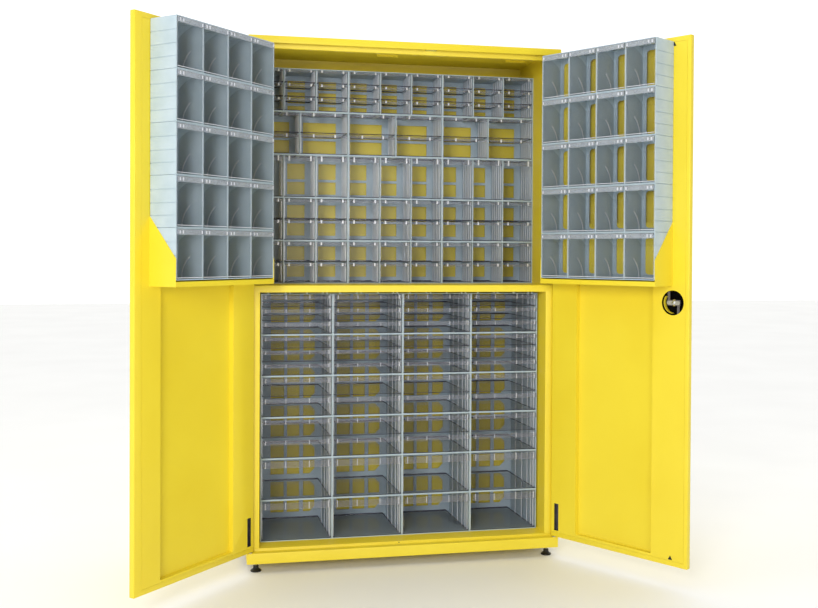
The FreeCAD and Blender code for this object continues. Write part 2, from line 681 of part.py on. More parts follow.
def rounded_window(name, x, z, width, height):
    """A block through a rack housing's back wall, round at its four corners."""
    radius, wall = "rack_window_radius", "housing_wall"
    solids = [box(f"{name}_flat", x, "0", f"{z} + {radius}", width, wall, f"{height} - 2 * {radius}"),
              box(f"{name}_upright", f"{x} + {radius}", "0", z, f"{width} - 2 * {radius}", wall, height)]
    for across, corner_x in (("near", f"{x} + {radius}"), ("far", f"{x} + {width} - {radius}")):
        for level, corner_z in (("low", f"{z} + {radius}"), ("high", f"{z} + {height} - {radius}")):
            solids.append(shaft(f"{name}_{across}_{level}", corner_x, "0", corner_z, radius, wall))
    return fuse(name, *solids)


def outline_prism(name, points, length):
    """A prism along +X over a closed outline of (y, z) formulas, as a padded sketch."""
    body = doc.addObject("PartDesign::Body", name)
    sketch = body.newObject("Sketcher::SketchObject", f"{name}_outline")
    plane = next(feature for feature in body.Origin.OriginFeatures if feature.Role == "YZ_Plane")
    sketch.AttachmentSupport = [(plane, "")]
    sketch.MapMode = "FlatFace"
    corners = [FreeCAD.Vector(value(y), value(z), 0) for y, z in points]
    count = len(corners)
    sketch.addGeometry([Part.LineSegment(corners[i], corners[(i + 1) % count]) for i in range(count)], False)
    for i in range(count):
        sketch.addConstraint(Sketcher.Constraint("Coincident", i, 2, (i + 1) % count, 1))
    for i, (y, z) in enumerate(points):
        for kind, text in (("DistanceX", y), ("DistanceY", z)):
            row = sketch.addConstraint(Sketcher.Constraint(kind, -1, 1, i, 1, value(text)))
            sketch.setExpression(f"Constraints[{row}]", bound(text))
    pad = body.newObject("PartDesign::Pad", f"{name}_pad")
    pad.Profile = sketch
    pad.setExpression("Length", bound(length))
    sketch.Visibility = False
    return body


def value(text):
    """The number that a formula on cell names gives now."""
    return float(sheet.evalExpression(bound(text).replace("Sizes.", "")))


def bin_master():
    """One tilting bin: full front with a pull lip, toe cut off round the pivot, side tops arched about it."""
    outer = outline_prism("bin_outer", (
        ("0", "bin_heel_rise"),
        ("bin_heel_rise", "0"),
        ("bin_depth - bin_toe", "0"),
        ("bin_depth", "bin_toe"),
        ("bin_depth", "bin_height - bin_lip_height"),
        ("bin_depth + bin_lip_reach", "bin_height - bin_lip_height + bin_lip_reach"),
        ("bin_depth + bin_lip_reach", "bin_height"),
        ("0", "bin_height")), "bin_width")
    inner = outline_prism("bin_inner", (
        ("drawer_wall", "bin_heel_rise + drawer_wall"),
        ("bin_heel_rise + drawer_wall", "drawer_wall"),
        ("bin_depth - bin_toe - drawer_wall", "drawer_wall"),
        ("bin_depth - drawer_wall", "bin_toe + drawer_wall"),
        ("bin_depth - drawer_wall", "bin_height"),
        ("drawer_wall", "bin_height")), "bin_width - 2 * drawer_wall")
    bind(inner, x="drawer_wall")
    over_sides = box("bin_over_sides", "0", "0", "0", "bin_width", "bin_depth - drawer_wall", "bin_height")
    swept = axle("bin_swept", "0", "bin_depth", "0", "bin_arc_radius", "bin_width")
    return cut("bin_shell", outer, inner, cut("bin_rear_corner", over_sides, swept))


def racks(hand):
    """The stack of rack housings on one door, and the tilting bins of each of its rows."""
    side = DOORS[hand]
    columns, rows = int(size("rack_column_count")), int(size("rack_row_count"))
    pitch, row = size("rack_cell"), size("rack_row")
    left = size("edge_u") + size("rack_inset")
    if hand == RIGHT:
        left = -left - size("rack_width")
    back = size("face_v") + size("door_thick") + size("sheet_gauge")
    wall, seat = size("housing_wall"), size("seat_gap")
    housings = []
    for number in range(1, rows + 1):
        bottom = size("rack_bottom") + (rows - number) * row
        housings.append(moved(rack_shape, left, back, bottom))
        bins = [moved(bin_shape, left + wall + size("side_play") + column * pitch,
                      back + wall + size("bin_rear_gap"), bottom + wall + seat) for column in range(columns)]
        hang_group(hand, f"{side}_bin_row_{number}", bins)
    hang_group(hand, f"{side}_rack_housings", housings)


def row_formulas(block, rows):
    """The height of one row of a drawer block, as a formula."""
    if block == "upper":
        return f"(roof_bottom - head_room - shelf_top) / {rows}"
    return f"(shelf_top - shelf_lip - shadow_gap - deck_top) / {rows}"


def housing_master(block, columns, tiers, row):
    """One drawer housing: open cells, tier shelves set back from them, windows behind; front at y = 0."""
    name = f"{block}_housing_{columns}_{tiers}"
    pitch = f"({block}_module - housing_wall) / {columns}"
    tier = f"({row} - 2 * housing_wall + tier_shelf) / {tiers}"
    shell = box(f"{name}_block", "0", "0", "0", f"{block}_module", f"{block}_depth", row)
    cuts = []
    for i in range(columns):
        left, wide = f"housing_wall + {i} * {pitch}", f"{pitch} - housing_wall"
        cuts.append(box(f"{name}_mouth_{i}", left, "0", "housing_wall", wide, "tier_setback",
                        f"{row} - 2 * housing_wall"))
        for k in range(tiers):
            cuts.append(box(f"{name}_cell_{i}_{k}", left, "0", f"housing_wall + {k} * {tier}", wide,
                            f"{block}_depth - housing_wall", f"{tier} - tier_shelf"))
    for i, (left, wide) in enumerate(window_columns(block, columns)):
        for k, (low, high) in enumerate(window_rows(block, max(tiers, LEAST_WINDOW_ROW_COUNT), row)):
            cuts.append(box(f"{name}_window_{i}_{k}", left, f"{block}_depth - housing_wall", low,
                            wide, "housing_wall", f"{high} - ({low})"))
    return cut(name, shell, *cuts)


def window_columns(block, columns):
    """Left edge and width of each column of windows: one behind each upper drawer, a fixed number below."""
    if block == "upper":
        return [(f"{i} * upper_module / {columns} + upper_window_side",
                 f"upper_module / {columns} - 2 * upper_window_side") for i in range(columns)]
    return [(f"lower_window_side + {i} * (lower_window_width + lower_window_gap)", "lower_window_width")
            for i in range(int(size("lower_window_count")))]


def window_rows(block, rows, row):
    """Bottom and top edge of each row of windows, with a bar between rows behind each tier shelf."""
    edges = [f"{k} * ({row}) / {rows}" for k in range(rows + 1)]
    lows = [f"{block}_window_end", *[f"{edge} + window_bar / 2" for edge in edges[1:-1]]]
    highs = [*[f"{edge} - window_bar / 2" for edge in edges[1:-1]], f"{row} - {block}_window_end"]
    return list(zip(lows, highs))


def drawer_master(block, columns, tiers, row):
    """One clear drawer with a pull lip along the top of its front; its front face at y = 0."""
    name = f"{block}_drawer_{columns}_{tiers}"
    width = f"(({block}_module - housing_wall) / {columns} - housing_wall - 2 * side_play)"
    height = f"(({row} - 2 * housing_wall + tier_shelf) / {tiers} - tier_shelf - seat_gap - head_play)"
    depth = f"({block}_depth - housing_wall - rear_play)"
    outside = box(f"{name}_block", "0", "0", "0", width, depth, height)
    inside = box(f"{name}_inside", "drawer_wall", "drawer_wall", "drawer_wall",
                 f"{width} - 2 * drawer_wall", f"{depth} - 2 * drawer_wall", height)
    reach, drop = f"{block}_lip_reach", f"({block}_lip_drop + {LIP_GROWTH_RATIO} * {height})"
    shelf = box(f"{name}_lip", "lip_inset", f"-{reach}", f"{height} - lip_thick",
                f"{width} - 2 * lip_inset", reach, "lip_thick")
    apron = box(f"{name}_lip_front", "lip_inset", f"-{reach}", f"{height} - {drop}",
                f"{width} - 2 * lip_inset", "lip_thick", drop)
    return fuse(name, cut(f"{name}_tub", outside, inside), shelf, apron)


def drawer_block(block, layout, bottom):
    """The housings of one block and the drawers of each row; one of each kind is a sub-part of its own."""
    count = int(size(f"{block}_column_count"))
    module, front = size(f"{block}_module"), size(f"{block}_y")
    row = row_formulas(block, len(layout))
    high = value(row)
    wall, shelf = size("housing_wall"), size("tier_shelf")
    masters = {kind: (housing_master(block, *kind, row), drawer_master(block, *kind, row))
               for kind in dict.fromkeys(layout)}
    doc.recompute()
    housings = []
    for number, (columns, tiers) in enumerate(layout, start=1):
        housing, drawer = masters[columns, tiers]
        pitch, tier = (module - wall) / columns, (high - 2 * wall + shelf) / tiers
        base_z = bottom + (len(layout) - number) * high
        drawers = {}
        for m in range(count):
            base_x = (m - count / 2) * module
            housings.append(moved(housing, base_x, front, base_z))
            for i in range(columns):
                for k in range(tiers):
                    drawers[m, i, k] = moved(drawer, base_x + wall + size("side_play") + i * pitch, front,
                                             base_z + wall + size("seat_gap") + k * tier)
        if layout.index((columns, tiers)) == number - 1:
            lone = drawers.pop((count // 2, columns // 2, tiers - 1))
            group(f"{block}_row_{number}_single_drawer", [lone])
        group(f"{block}_row_{number}_drawers", list(drawers.values()))
    group(f"{block}_housings", housings)


def check():
    """Stop before anything is written if an object failed or a sub-part is empty or invalid."""
    for piece in doc.Objects:
        if "Invalid" in piece.State or "Error" in piece.State:
            raise RuntimeError(f"{piece.Label} failed: {piece.State}")
    for piece in parts:
        if piece.Shape.isNull() or not piece.Shape.isValid():
            raise RuntimeError(f"{piece.Label} has no valid shape")


fill_sheet()
carcass()
feet()
hinge_pins()
for door in DOORS:
    door_panel(door)
    door_liner(door)
    hinge_bushes(door)
    rack_tray(door)
lock_case()
lock_rosette()
lock_handle()
lock_cam()
lock_rod("upper_lock_rod", HINGE_SIDE, "lock_height", "rod_top")
lock_rod("lower_lock_rod", FREE_SIDE, "rod_bottom", "lock_height")
rod_guides()
rod_keepers()
rack_shape, bin_shape = rack_master(), bin_master()
doc.recompute()
for door in DOORS:
    racks(door)
drawer_block("upper", UPPER_ROW_COUNTS, size("shelf_top"))
drawer_block("lower", LOWER_ROW_COUNTS, size("deck_top"))
doc.recompute()
check()
os.makedirs("parts", exist_ok=True)
for piece in parts:
    piece.Shape.exportStep(os.path.join("parts", piece.Label + ".step"))
print(len(parts), "sub-parts written")
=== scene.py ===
import bmesh
import bpy
import json
import math
from mathutils import Matrix, Vector


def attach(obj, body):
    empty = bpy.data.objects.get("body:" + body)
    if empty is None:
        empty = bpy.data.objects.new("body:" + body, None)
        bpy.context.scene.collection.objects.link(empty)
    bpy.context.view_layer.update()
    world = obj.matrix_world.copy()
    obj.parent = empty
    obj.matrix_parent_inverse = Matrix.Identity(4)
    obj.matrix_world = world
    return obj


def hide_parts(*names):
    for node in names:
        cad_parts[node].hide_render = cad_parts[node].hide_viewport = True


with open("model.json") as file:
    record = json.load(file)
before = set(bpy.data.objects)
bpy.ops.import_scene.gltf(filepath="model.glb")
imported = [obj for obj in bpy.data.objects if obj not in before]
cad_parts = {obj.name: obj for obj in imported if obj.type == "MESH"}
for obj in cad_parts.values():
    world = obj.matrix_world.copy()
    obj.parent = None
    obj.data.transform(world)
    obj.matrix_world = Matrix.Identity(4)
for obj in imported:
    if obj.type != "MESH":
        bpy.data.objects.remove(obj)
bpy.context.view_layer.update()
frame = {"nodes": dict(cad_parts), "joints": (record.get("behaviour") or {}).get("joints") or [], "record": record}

# Tall two-door cabinet in yellow powder coat, with clear small-parts drawers in pale plastic housings and a
# rack of tilting clear bins on the inside of each door. Shapes are modelled in millimetres, with the
# cabinet's own frame or a shut door's frame as axes, and put in place in metres when a piece is finished.
MM = 0.001
TOUCH = 0.01
ALIGNED, LOOKS_UP = 0.99, 0.2
SHARP = math.radians(40)
CHAMFER = 1
ROUND_STEPS, SMALL_STEPS = 32, 16

UP, DOWN = Vector((0, 0, 1)), Vector((0, 0, -1))
LEFTWARD, RIGHTWARD = Vector((-1, 0, 0)), Vector((1, 0, 0))
FORWARD, BACKWARD = Vector((0, -1, 0)), Vector((0, 1, 0))
SIDES = ("left", "right")

# Sheet metal
GAUGE = 1.5
FOLD_RADIUS = 2.5
SEAM = 1.2
BACK_SEAMS = (-54, 504)
# Spot-weld dimples on the back: count in a row, inset from the sides and the ends, half width and depth.
DIMPLES, DIMPLE_SIDE, DIMPLE_END, DIMPLE_HALF, DIMPLE_DEPTH = 9, 60, 14, 4, 0.5
FOOT_PLATE = (70, 70, 3)
# Foot: its pad's rim as insets and heights, its hub as radii and heights, and the stem's thread.
PAD_RIM = ((1.5, 0), (0, 1.5), (0, 4.5), (1.5, 6), (5, 7.5))
FOOT_HUB = ((12, 11), (10, 13), (10, 21), (9, 22))
THREAD_CREST, THREAD_ROOT, STEM_SUNK = 5, 4.3, 0.5
# Tabs under the roof: middles, width, gauge and drop.
ROOF_TABS, TAB_WIDTH, TAB_GAUGE, TAB_DROP = (-44, 485), 84, 2, 14
# Screw hole in the base's door stop, from the middle of the cabinet.
STOP_HOLE_X, STOP_HOLE, STOP_HOLE_DEPTH = -27, 4, 0.8

# Doors, from the hinge edge (u), the outer face (v) and the floor (z)
HINGE_CHANNEL = 116
FREE_CHANNEL = {"left": 116, "right": 145}
RECESS_BORDER = 9
RECESS_CORNER = 5
RECESS_EDGE = 2.5
RECESS_FLOOR_GAP = 0.2
SLOT_INSET, SLOT_WIDTH, SLOT_HEIGHT, SLOT_RISE, SLOT_DEPTH = 16, 20, 105, 25, 14
MARK_U, MARK_RISE, MARK_RADIUS, MARK_PROUD, MARK_SIDES = 529, 17, 10, 0.6, 3
TRAY_LIP = 17
TRAY_CHEEK_FRONT = 90

# Lock of the right door
LOCK_WINDOW_RADIUS, LOCK_WINDOW_SEGMENTS = 44, 12
LOCK_COLLAR = 1.5
# Curved guard wall inside the lock: radius, wall, start and sweep in degrees from the free edge, and steps.
GUARD_RADIUS, GUARD_WALL, GUARD_START, GUARD_SWEEP, GUARD_STEPS = 36.5, 1.5, 142, 122, 14
SPINDLE_RADIUS, SPINDLE_BORE, SPINDLE_STEPS = 5, 5.6, 24
# Rounded edge of the rosette, as insets from its rim and depths under its face.
ROSETTE_EDGE, ROSETTE_STEPS = ((0, 2), (1, 0.8), (3, 0)), 40
GRIP_THICK, GRIP_TRIM, GRIP_ROUND, GRIP_SEGMENTS = 12, 8, 4, 4
# Neck of the handle: its radius, which narrows where it enters the grip, and its gap to the rosette.
NECK_RADIUS, NECK_TOP, NECK_TAPER, NECK_SUNK, NECK_END, NECK_GAP = 13, 11.5, 2, 1, 20, 0.3
CAM_THICK, CAM_HALF, CAM_ROUND, CAM_SEGMENTS = 3, 7, 6.5, 5
CHEEK_GAP, CHEEK_THICK = 0.4, 1.4
WASHER_RADIUS, WASHER_EDGE, WASHER_DROP = 12, 0.4, 0.2
NUT_RADIUS, NUT_TOP, NUT_SIDE, NUT_HEIGHT, NUT_SIDES = 6.5, 5.6, 1, 1.6, 6
CRANK_PIN_RADIUS, STUD_RADIUS, PIN_HEAD, PIN_EDGE = 3, 4, 0.6, 0.4

# Drawer housings
WALL = 2.5
STACK_PLAY = 0.6
RAIL_WIDTH, RAIL_THICK, RAIL_SETBACK, RAIL_END = 6, 2, 14, 0.5
CROSS_BAR = 10
UPPER_COLUMNS, LOWER_COLUMNS, RACK_COLUMNS, RACK_ROWS = 3, 4, 4, 5
# Drawer rows from the top down: columns and tiers in a housing.
UPPER_ROWS = ((3, 3), (2, 2), (3, 1), (3, 2), (3, 2))
LOWER_ROWS = ((1, 3), (1, 3), (1, 2), (1, 2), (1, 1), (1, 1))
UPPER_WINDOW_SIDE = 28
LOWER_WINDOW_COLUMNS = ((60, 115), (127, 178), (193, 241))
# Solid strips of a back wall: below and above the windows, half a bar between them, its rise over a shelf.
WINDOW_LOW, WINDOW_HIGH = {"upper": 22, "lower": 26}, {"upper": 21, "lower": 4}
WINDOW_BAR, WINDOW_BAR_RISE = 5, {"upper": -6, "lower": 8}
LOWER_WINDOW_CUT = 20
NO_CUT = -1
RACK_WINDOW_BORDER, RACK_WINDOW_RADIUS, RACK_WINDOW_SEGMENTS = 15, 13, 4
RACK_GROOVES = (0.22, 0.46, 0.72)
GROOVE_HEIGHT, GROOVE_DEPTH = 3.2, 2
RACK_EDGE = 1.4
PEG_SHARES = (0.1, 0.34, 0.4, 0.64, 0.86, 0.92)
PEG_WIDTH, PEG_HEIGHT, PEG_DEPTH = 6, 4, 8

# Drawers and bins
DRAWER_WALL = 2
DRAWER_ROUND = 3.2
DRAWER_TAPER = {"upper": 4, "lower": 13}
LIP_REACH = {"upper": 9, "lower": 20}
LIP_INSET, LIP_THICK = 4, 2.5
# Height of the pull lip's front, and the share of the drawer's height that it gains.
LIP_DROP, LIP_GROWTH = {"upper": 5, "lower": 11.5}, 0.1
# Middles of the lugs on a lip, from the middle of the drawer.
LUG_PLACES = {"upper": (-42.5, 42.5), "lower": (-119, -43, 46, 119)}
LUG_WIDTH, LUG_PROUD = {"upper": 6, "lower": 2}, 0.8
RIB_SHARES = {"upper": (0.08, 0.24, 0.4, 0.56, 0.72), "lower": (0.05, 0.13, 0.26, 0.45, 0.68)}
RIB_WIDTH, RIB_PROUD = 6, 2.4
# Width of the strips of painted shade along the sides and rear of a drawer's floor
SHADE_LINE_WIDTH = 3.5
# Width of the strips of painted highlight on a bin's front edges
EDGE_HIGHLIGHT_WIDTH = 2
BIN_LIP_HEIGHT, BIN_LIP_REACH, BIN_LIP_INSET = 18, 6, 1
BIN_HEEL, BIN_TOE = 14, 4
BIN_ARC_STEPS = 10
BIN_TRACK_RADIUS, BIN_TRACK_DEGREES, BIN_TRACK_STEPS = 88, 54, 7
BIN_TRACK_WIDTH, BIN_TRACK_PROUD = 3.2, 1.4
BIN_LUGS = (0.06, 0.8, 0.92)
BIN_LUG_WIDTH, BIN_LUG_INSET, BIN_LUG_PROUD = 5, 4, 0.8

# Places in a piece's list of materials, in that of a drawer and in that of a bin
SECOND = 1
HIGHLIGHT_COAT, GRIP_COAT, CORNER_SHADE_COAT, FLOOR_SHADE_COAT = 1, 2, 3, 4
LABEL_AND_HIGHLIGHT_COAT, REAR_COAT = 2, 3

JOINTS = {joint["name"]: joint for joint in frame["joints"]}
BODY_OF = {node: body for body, nodes in frame["record"]["behaviour"]["bodies"].items() for node in nodes}


# Materials

# Part of the noise over which a colour drifts, detail of that noise and of the grain, and the grain's height.
DRIFT_RANGE, DRIFT_DETAIL, GRAIN_DETAIL, GRAIN_HEIGHT = (0.3, 0.7), 3.0, 2.0, 0.5
STYRENE_IOR = 1.59


def linear(code):
    """An sRGB hex colour as linear RGBA."""
    shares = [int(code[i:i + 2], 16) / 255 for i in (0, 2, 4)]
    return (*[c / 12.92 if c <= 0.04045 else ((c + 0.055) / 1.055) ** 2.4 for c in shares], 1)


def add(tree, kind, inputs=None, **settings):
    """A node with its settings; an input is a value or the socket that feeds it."""
    node = tree.nodes.new(kind)
    for name, setting in settings.items():
        setattr(node, name, setting)
    for name, source in (inputs or {}).items():
        if isinstance(source, bpy.types.NodeSocket):
            tree.links.new(source, node.inputs[name])
        else:
            node.inputs[name].default_value = source
    return node


def per_mm(size):
    """Texture scale for a pattern whose repeat is a size in millimetres."""
    return 1 / (size * MM)


def finish(name, colours, patch_mm, grain_mm, bump, rough, metallic=0, ior=1.5, alpha=1):
    """A surface whose colour drifts over patch_mm, with a fine grain that lifts it and varies its gloss."""
    material = bpy.data.materials.new(name)
    material.use_nodes = True
    tree = material.node_tree
    shader = tree.nodes["Principled BSDF"]
    place = add(tree, "ShaderNodeTexCoord").outputs["Object"]
    drift = add(tree, "ShaderNodeTexNoise",
                {"Vector": place, "Scale": per_mm(patch_mm), "Detail": DRIFT_DETAIL})
    tint = add(tree, "ShaderNodeValToRGB", {"Fac": drift.outputs["Fac"]})
    for stop, position, colour in zip(tint.color_ramp.elements, DRIFT_RANGE, colours):
        stop.position, stop.color = position, linear(colour)
    grain = add(tree, "ShaderNodeTexNoise",
                {"Vector": place, "Scale": per_mm(grain_mm), "Detail": GRAIN_DETAIL})
    height = grain.outputs["Fac"]
    gloss = add(tree, "ShaderNodeMapRange", {"Value": height, "To Min": rough[0], "To Max": rough[1]})
    relief = add(tree, "ShaderNodeBump", {"Height": height, "Strength": bump, "Distance": GRAIN_HEIGHT * MM})
    tree.links.new(tint.outputs["Color"], shader.inputs["Base Color"])
    tree.links.new(gloss.outputs["Result"], shader.inputs["Roughness"])
    tree.links.new(relief.outputs["Normal"], shader.inputs["Normal"])
    shader.inputs["Metallic"].default_value = metallic
    shader.inputs["IOR"].default_value = ior
    shader.inputs["Alpha"].default_value = alpha
    return material


# Polyester powder coat, sprayed and baked: even zinc yellow with a satin orange peel. The peel's 2 mm waves
# are drawn at 6 mm so that they show.
POWDER = finish("zinc_yellow_powder_coat", ("E8CF2C", "EED836"), 420, 6, 0.06, (0.32, 0.44))
# Injection-moulded polystyrene, pale blue-grey: satin, with a faint cloudiness from the flow of the melt.
STYRENE = finish("pale_moulded_polystyrene", ("AEC0CA", "BACAD4"), 60, 3, 0.05, (0.38, 0.5), ior=STYRENE_IOR)
# Injection-moulded clear polystyrene with a smoke tint: glossy, thin enough to see through.
CLEAR = finish("clear_smoke_polystyrene", ("6A6C76", "7A7C88"), 90, 8, 0.02, (0.08, 0.16),
               ior=STYRENE_IOR, alpha=0.03)
# The same with a deeper smoke tint, for the bins.
CLEAR_BIN = finish("clear_deep_smoke_polystyrene", ("40444C", "4E525A"), 90, 8, 0.02, (0.08, 0.16),
                   ior=STYRENE_IOR, alpha=0.085)
# The same clear styrene where light gathers, paler and less see-through: painted highlight on ribs, lugs, tracks,
# a drawer lip's underside and a bin's lower front edge.
CLEAR_HIGHLIGHT = finish("clear_polystyrene_painted_highlight", ("E6E8F2", "F2F4FA"), 40, 8, 0.02, (0.1, 0.2),
                   ior=STYRENE_IOR, alpha=0.7)
# The same clear styrene with a fine moulded texture, on grips: a grey haze.
CLEAR_GRIP = finish("textured_polystyrene_grip", ("7A7A86", "8A8A96"), 40, 3, 0.1, (0.3, 0.45),
                    ior=STYRENE_IOR, alpha=0.2)
# The same clear styrene in dark violet grey and nearly opaque: painted shade along a drawer's bottom edges and the
# sides and rear of its floor, where one looks through the corner's full width.
CLEAR_CORNER_SHADE = finish("clear_polystyrene_painted_corner_shade", ("3C3A50", "4A485E"), 40, 8, 0.02, (0.1, 0.2),
                      ior=STYRENE_IOR, alpha=0.85)
# The same clear styrene, glossy and darker, on a drawer's floor: painted shade for a floor seen at a low angle.
CLEAR_FLOOR_SHADE = finish("clear_polystyrene_floor_painted_shade", ("34363A", "424448"), 90, 8, 0.02, (0.05, 0.12),
                     ior=STYRENE_IOR, alpha=0.36)
DRAWER_COATS = [CLEAR, CLEAR_HIGHLIGHT, CLEAR_GRIP, CLEAR_CORNER_SHADE, CLEAR_FLOOR_SHADE]
# The same clear styrene as a bin's hollow label lip, two walls thick: a pale haze. On a bin's upright front edges
# it is a painted highlight.
CLEAR_LABEL_AND_HIGHLIGHT = finish("clear_polystyrene_label_lip_and_painted_edge_highlight", ("B2B8C2", "C2C8D0"), 40, 3, 0.1, (0.2, 0.35),
                     ior=STYRENE_IOR, alpha=0.4)
BIN_COATS = [CLEAR_BIN, CLEAR_HIGHLIGHT, CLEAR_LABEL_AND_HIGHLIGHT, CLEAR]
# Electroplated zinc on steel, passivated: grey metal with soft bluish and straw patches.
ZINC = finish("passivated_zinc_plate", ("C2C8D0", "CECBC4"), 12, 2, 0.05, (0.28, 0.42), metallic=1)
# Yellow-passivated zinc on steel: straw metal.
STRAW_ZINC = finish("straw_passivated_zinc", ("C6B878", "D2C686"), 12, 2, 0.05, (0.3, 0.44), metallic=1)
# Cold-drawn steel, oiled: dull dark grey metal. In the door liners' hinge slots it is painted shade.
STEEL_AND_SLOT_SHADE = finish("oiled_drawn_steel_and_painted_slot_shade", ("74727A", "828088"), 20, 2, 0.05, (0.36, 0.5), metallic=1)
# Near-black sheet steel that throws almost nothing back: painted shade in the lock case behind the round window.
LOCK_SHADE_BLACK = finish("painted_lock_shade_black", ("040404", "080808"), 20, 1.5, 0.1, (0.8, 0.9), ior=1.12)
# Glass-filled polyamide, moulded: near black with a fine matt grain. In the screw hole of the base's door stop it
# is painted shade.
BLACK_AND_HOLE_SHADE = finish("black_moulded_polyamide_and_painted_hole_shade", ("0B0B0C", "151516"), 20, 1.5, 0.12, (0.42, 0.58))
# Seamless studio floor, painted: pale and almost even.
FLOOR = finish("pale_painted_floor", ("F4F4F2", "F8F8F6"), 900, 30, 0.01, (0.6, 0.7))


# Frame

def hung(side):
    """Matrix from a shut door's own (u, v, z) millimetres to the place where the door is kept open."""
    joint = JOINTS[f"{side}_door_hinge"]
    x, y, _ = joint["pos_m"]
    turn = Matrix.Rotation(-math.radians(joint["range_deg"][0]), 4, Vector(joint["axis"]))
    flip = Matrix.Scale(-1 if side == "right" else 1, 4, RIGHTWARD)
    about_hinge = Matrix.Translation((x, y, 0)) @ turn @ flip @ Matrix.Scale(MM, 4)
    low, _ = solids(f"{side}_door_panel", about_hinge)[0]
    return about_hinge @ Matrix.Translation((low.x, low.y, 0))


def solids(node, place=None):
    """Lowest and highest corners of each solid of a CAD node, in millimetres in the frame place maps from."""
    bm = bmesh.new()
    bm.from_mesh(frame["nodes"][node].data)
    bmesh.ops.transform(bm, matrix=(place or CABINET).inverted(), verts=bm.verts)
    bmesh.ops.remove_doubles(bm, verts=bm.verts, dist=TOUCH)
    boxes, waiting = [], set(bm.verts)
    while waiting:
        island, edge_of_island = set(), {waiting.pop()}
        while edge_of_island:
            island |= edge_of_island
            edge_of_island = {edge.other_vert(vert) for vert in edge_of_island
                              for edge in vert.link_edges} - island
        waiting -= island
        boxes.append(corners(island))
    bm.free()
    return sorted(boxes, key=lambda box: tuple(box[0]))


def corners(verts):
    """Lowest and highest corner of some vertices."""
    return tuple(Vector(pick(vert.co[axis] for vert in verts) for axis in range(3)) for pick in (min, max))


def whole(node, place=None):
    """Lowest and highest corner of a whole CAD node, in millimetres."""
    boxes = solids(node, place)
    return tuple(Vector(pick(box[end][axis] for box in boxes) for axis in range(3))
                 for end, pick in ((0, min), (1, max)))


CABINET = Matrix.Scale(MM, 4)
DOOR = {side: hung(side) for side in SIDES}


# Mesh tools

def unique(items):
    """Items without repeats, in their own order."""
    return list(dict.fromkeys(items))


def block(bm, low, high):
    """A closed box between two corners."""
    low, high = Vector(low), Vector(high)
    place = Matrix.LocRotScale((low + high) / 2, None, high - low)
    return bmesh.ops.create_cube(bm, size=1, matrix=place)["verts"]


def prism(bm, points, along):
    """A closed prism over a flat outline, drawn out along a vector."""
    face = bm.faces.new([bm.verts.new(point) for point in points])
    draw_out(bm, [face], along)
    bmesh.ops.recalc_face_normals(bm, faces=bm.faces)


def draw_out(bm, faces, along):
    """Extrude faces along a vector; returns the new vertices."""
    geom = unique(item for face in faces for item in (face, *face.edges, *face.verts))
    grown = bmesh.ops.extrude_face_region(bm, geom=geom)["geom"]
    verts = [item for item in grown if isinstance(item, bmesh.types.BMVert)]
    bmesh.ops.translate(bm, vec=along, verts=verts)
    return verts


def folded(bm, points, along):
    """An open skin over a line of points, drawn out along a vector, with its folds rounded."""
    verts = [bm.verts.new(point) for point in points]
    edges = [bm.edges.new(pair) for pair in zip(verts, verts[1:])]
    grown = bmesh.ops.extrude_edge_only(bm, edges=edges)["geom"]
    bmesh.ops.translate(bm, vec=along, verts=[item for item in grown if isinstance(item, bmesh.types.BMVert)])
    folds = unique(edge for vert in verts for edge in vert.link_edges if len(edge.link_faces) == 2)
    round_edges(bm, folds, FOLD_RADIUS)


def round_edges(bm, edges, radius, segments=3):
    """Bevel edges to a radius."""
    bmesh.ops.bevel(bm, geom=edges, offset=radius, offset_type="OFFSET", affect="EDGES",
                    segments=segments, profile=0.5, material=-1, clamp_overlap=True)


def thicken(bm, inside, gauge=GAUGE):
    """Give an open skin the thickness of its wall, on the side where a point lies."""
    bmesh.ops.recalc_face_normals(bm, faces=bm.faces)
    bm.normal_update()
    widest = max(bm.faces, key=lambda face: face.calc_area())
    if widest.normal.dot(Vector(inside) - widest.calc_center_median()) > 0:
        bmesh.ops.reverse_faces(bm, faces=bm.faces)
    bm.normal_update()
    bmesh.ops.solidify(bm, geom=bm.faces[:], thickness=gauge)


def patch(bm, way, low, high):
    """The faces that look towards way inside the box from low to high, cut out along its sides."""
    depth = max(range(3), key=lambda axis: abs(way[axis]))
    across = [axis for axis in range(3) if axis != depth]

    def met(face):
        least, most = corners(face.verts)
        return (face.normal.dot(way) > ALIGNED
                and low[depth] - TOUCH <= least[depth] and most[depth] <= high[depth] + TOUCH
                and all(least[a] < high[a] - TOUCH and most[a] > low[a] + TOUCH for a in across))

    for axis in across:
        for level in (low[axis], high[axis]):
            bm.normal_update()
            geom = unique(item for face in bm.faces if met(face) for item in (face, *face.edges, *face.verts))
            normal = Vector(float(axis == i) for i in range(3))
            bmesh.ops.bisect_plane(bm, geom=geom, dist=TOUCH, plane_co=normal * level, plane_no=normal)
    bm.normal_update()
    return [face for face in bm.faces if met(face)]


def emboss(bm, way, low, high, height, coat=None):
    """Raise a patch by a height, or sink it by a negative one; the new faces may take another material."""
    verts = draw_out(bm, patch(bm, way, low, high), way * height)
    if coat is not None:
        for face in unique(face for vert in verts for face in vert.link_faces):
            face.material_index = coat
    return verts


def paint(bm, way, low, high, coat):
    """Give a patch another material."""
    for face in patch(bm, way, low, high):
        face.material_index = coat


def coat_since(bm, count, coat):
    """Give the faces that were made after the first count of them another material."""
    bm.faces.ensure_lookup_table()
    for face in bm.faces[count:]:
        face.material_index = coat


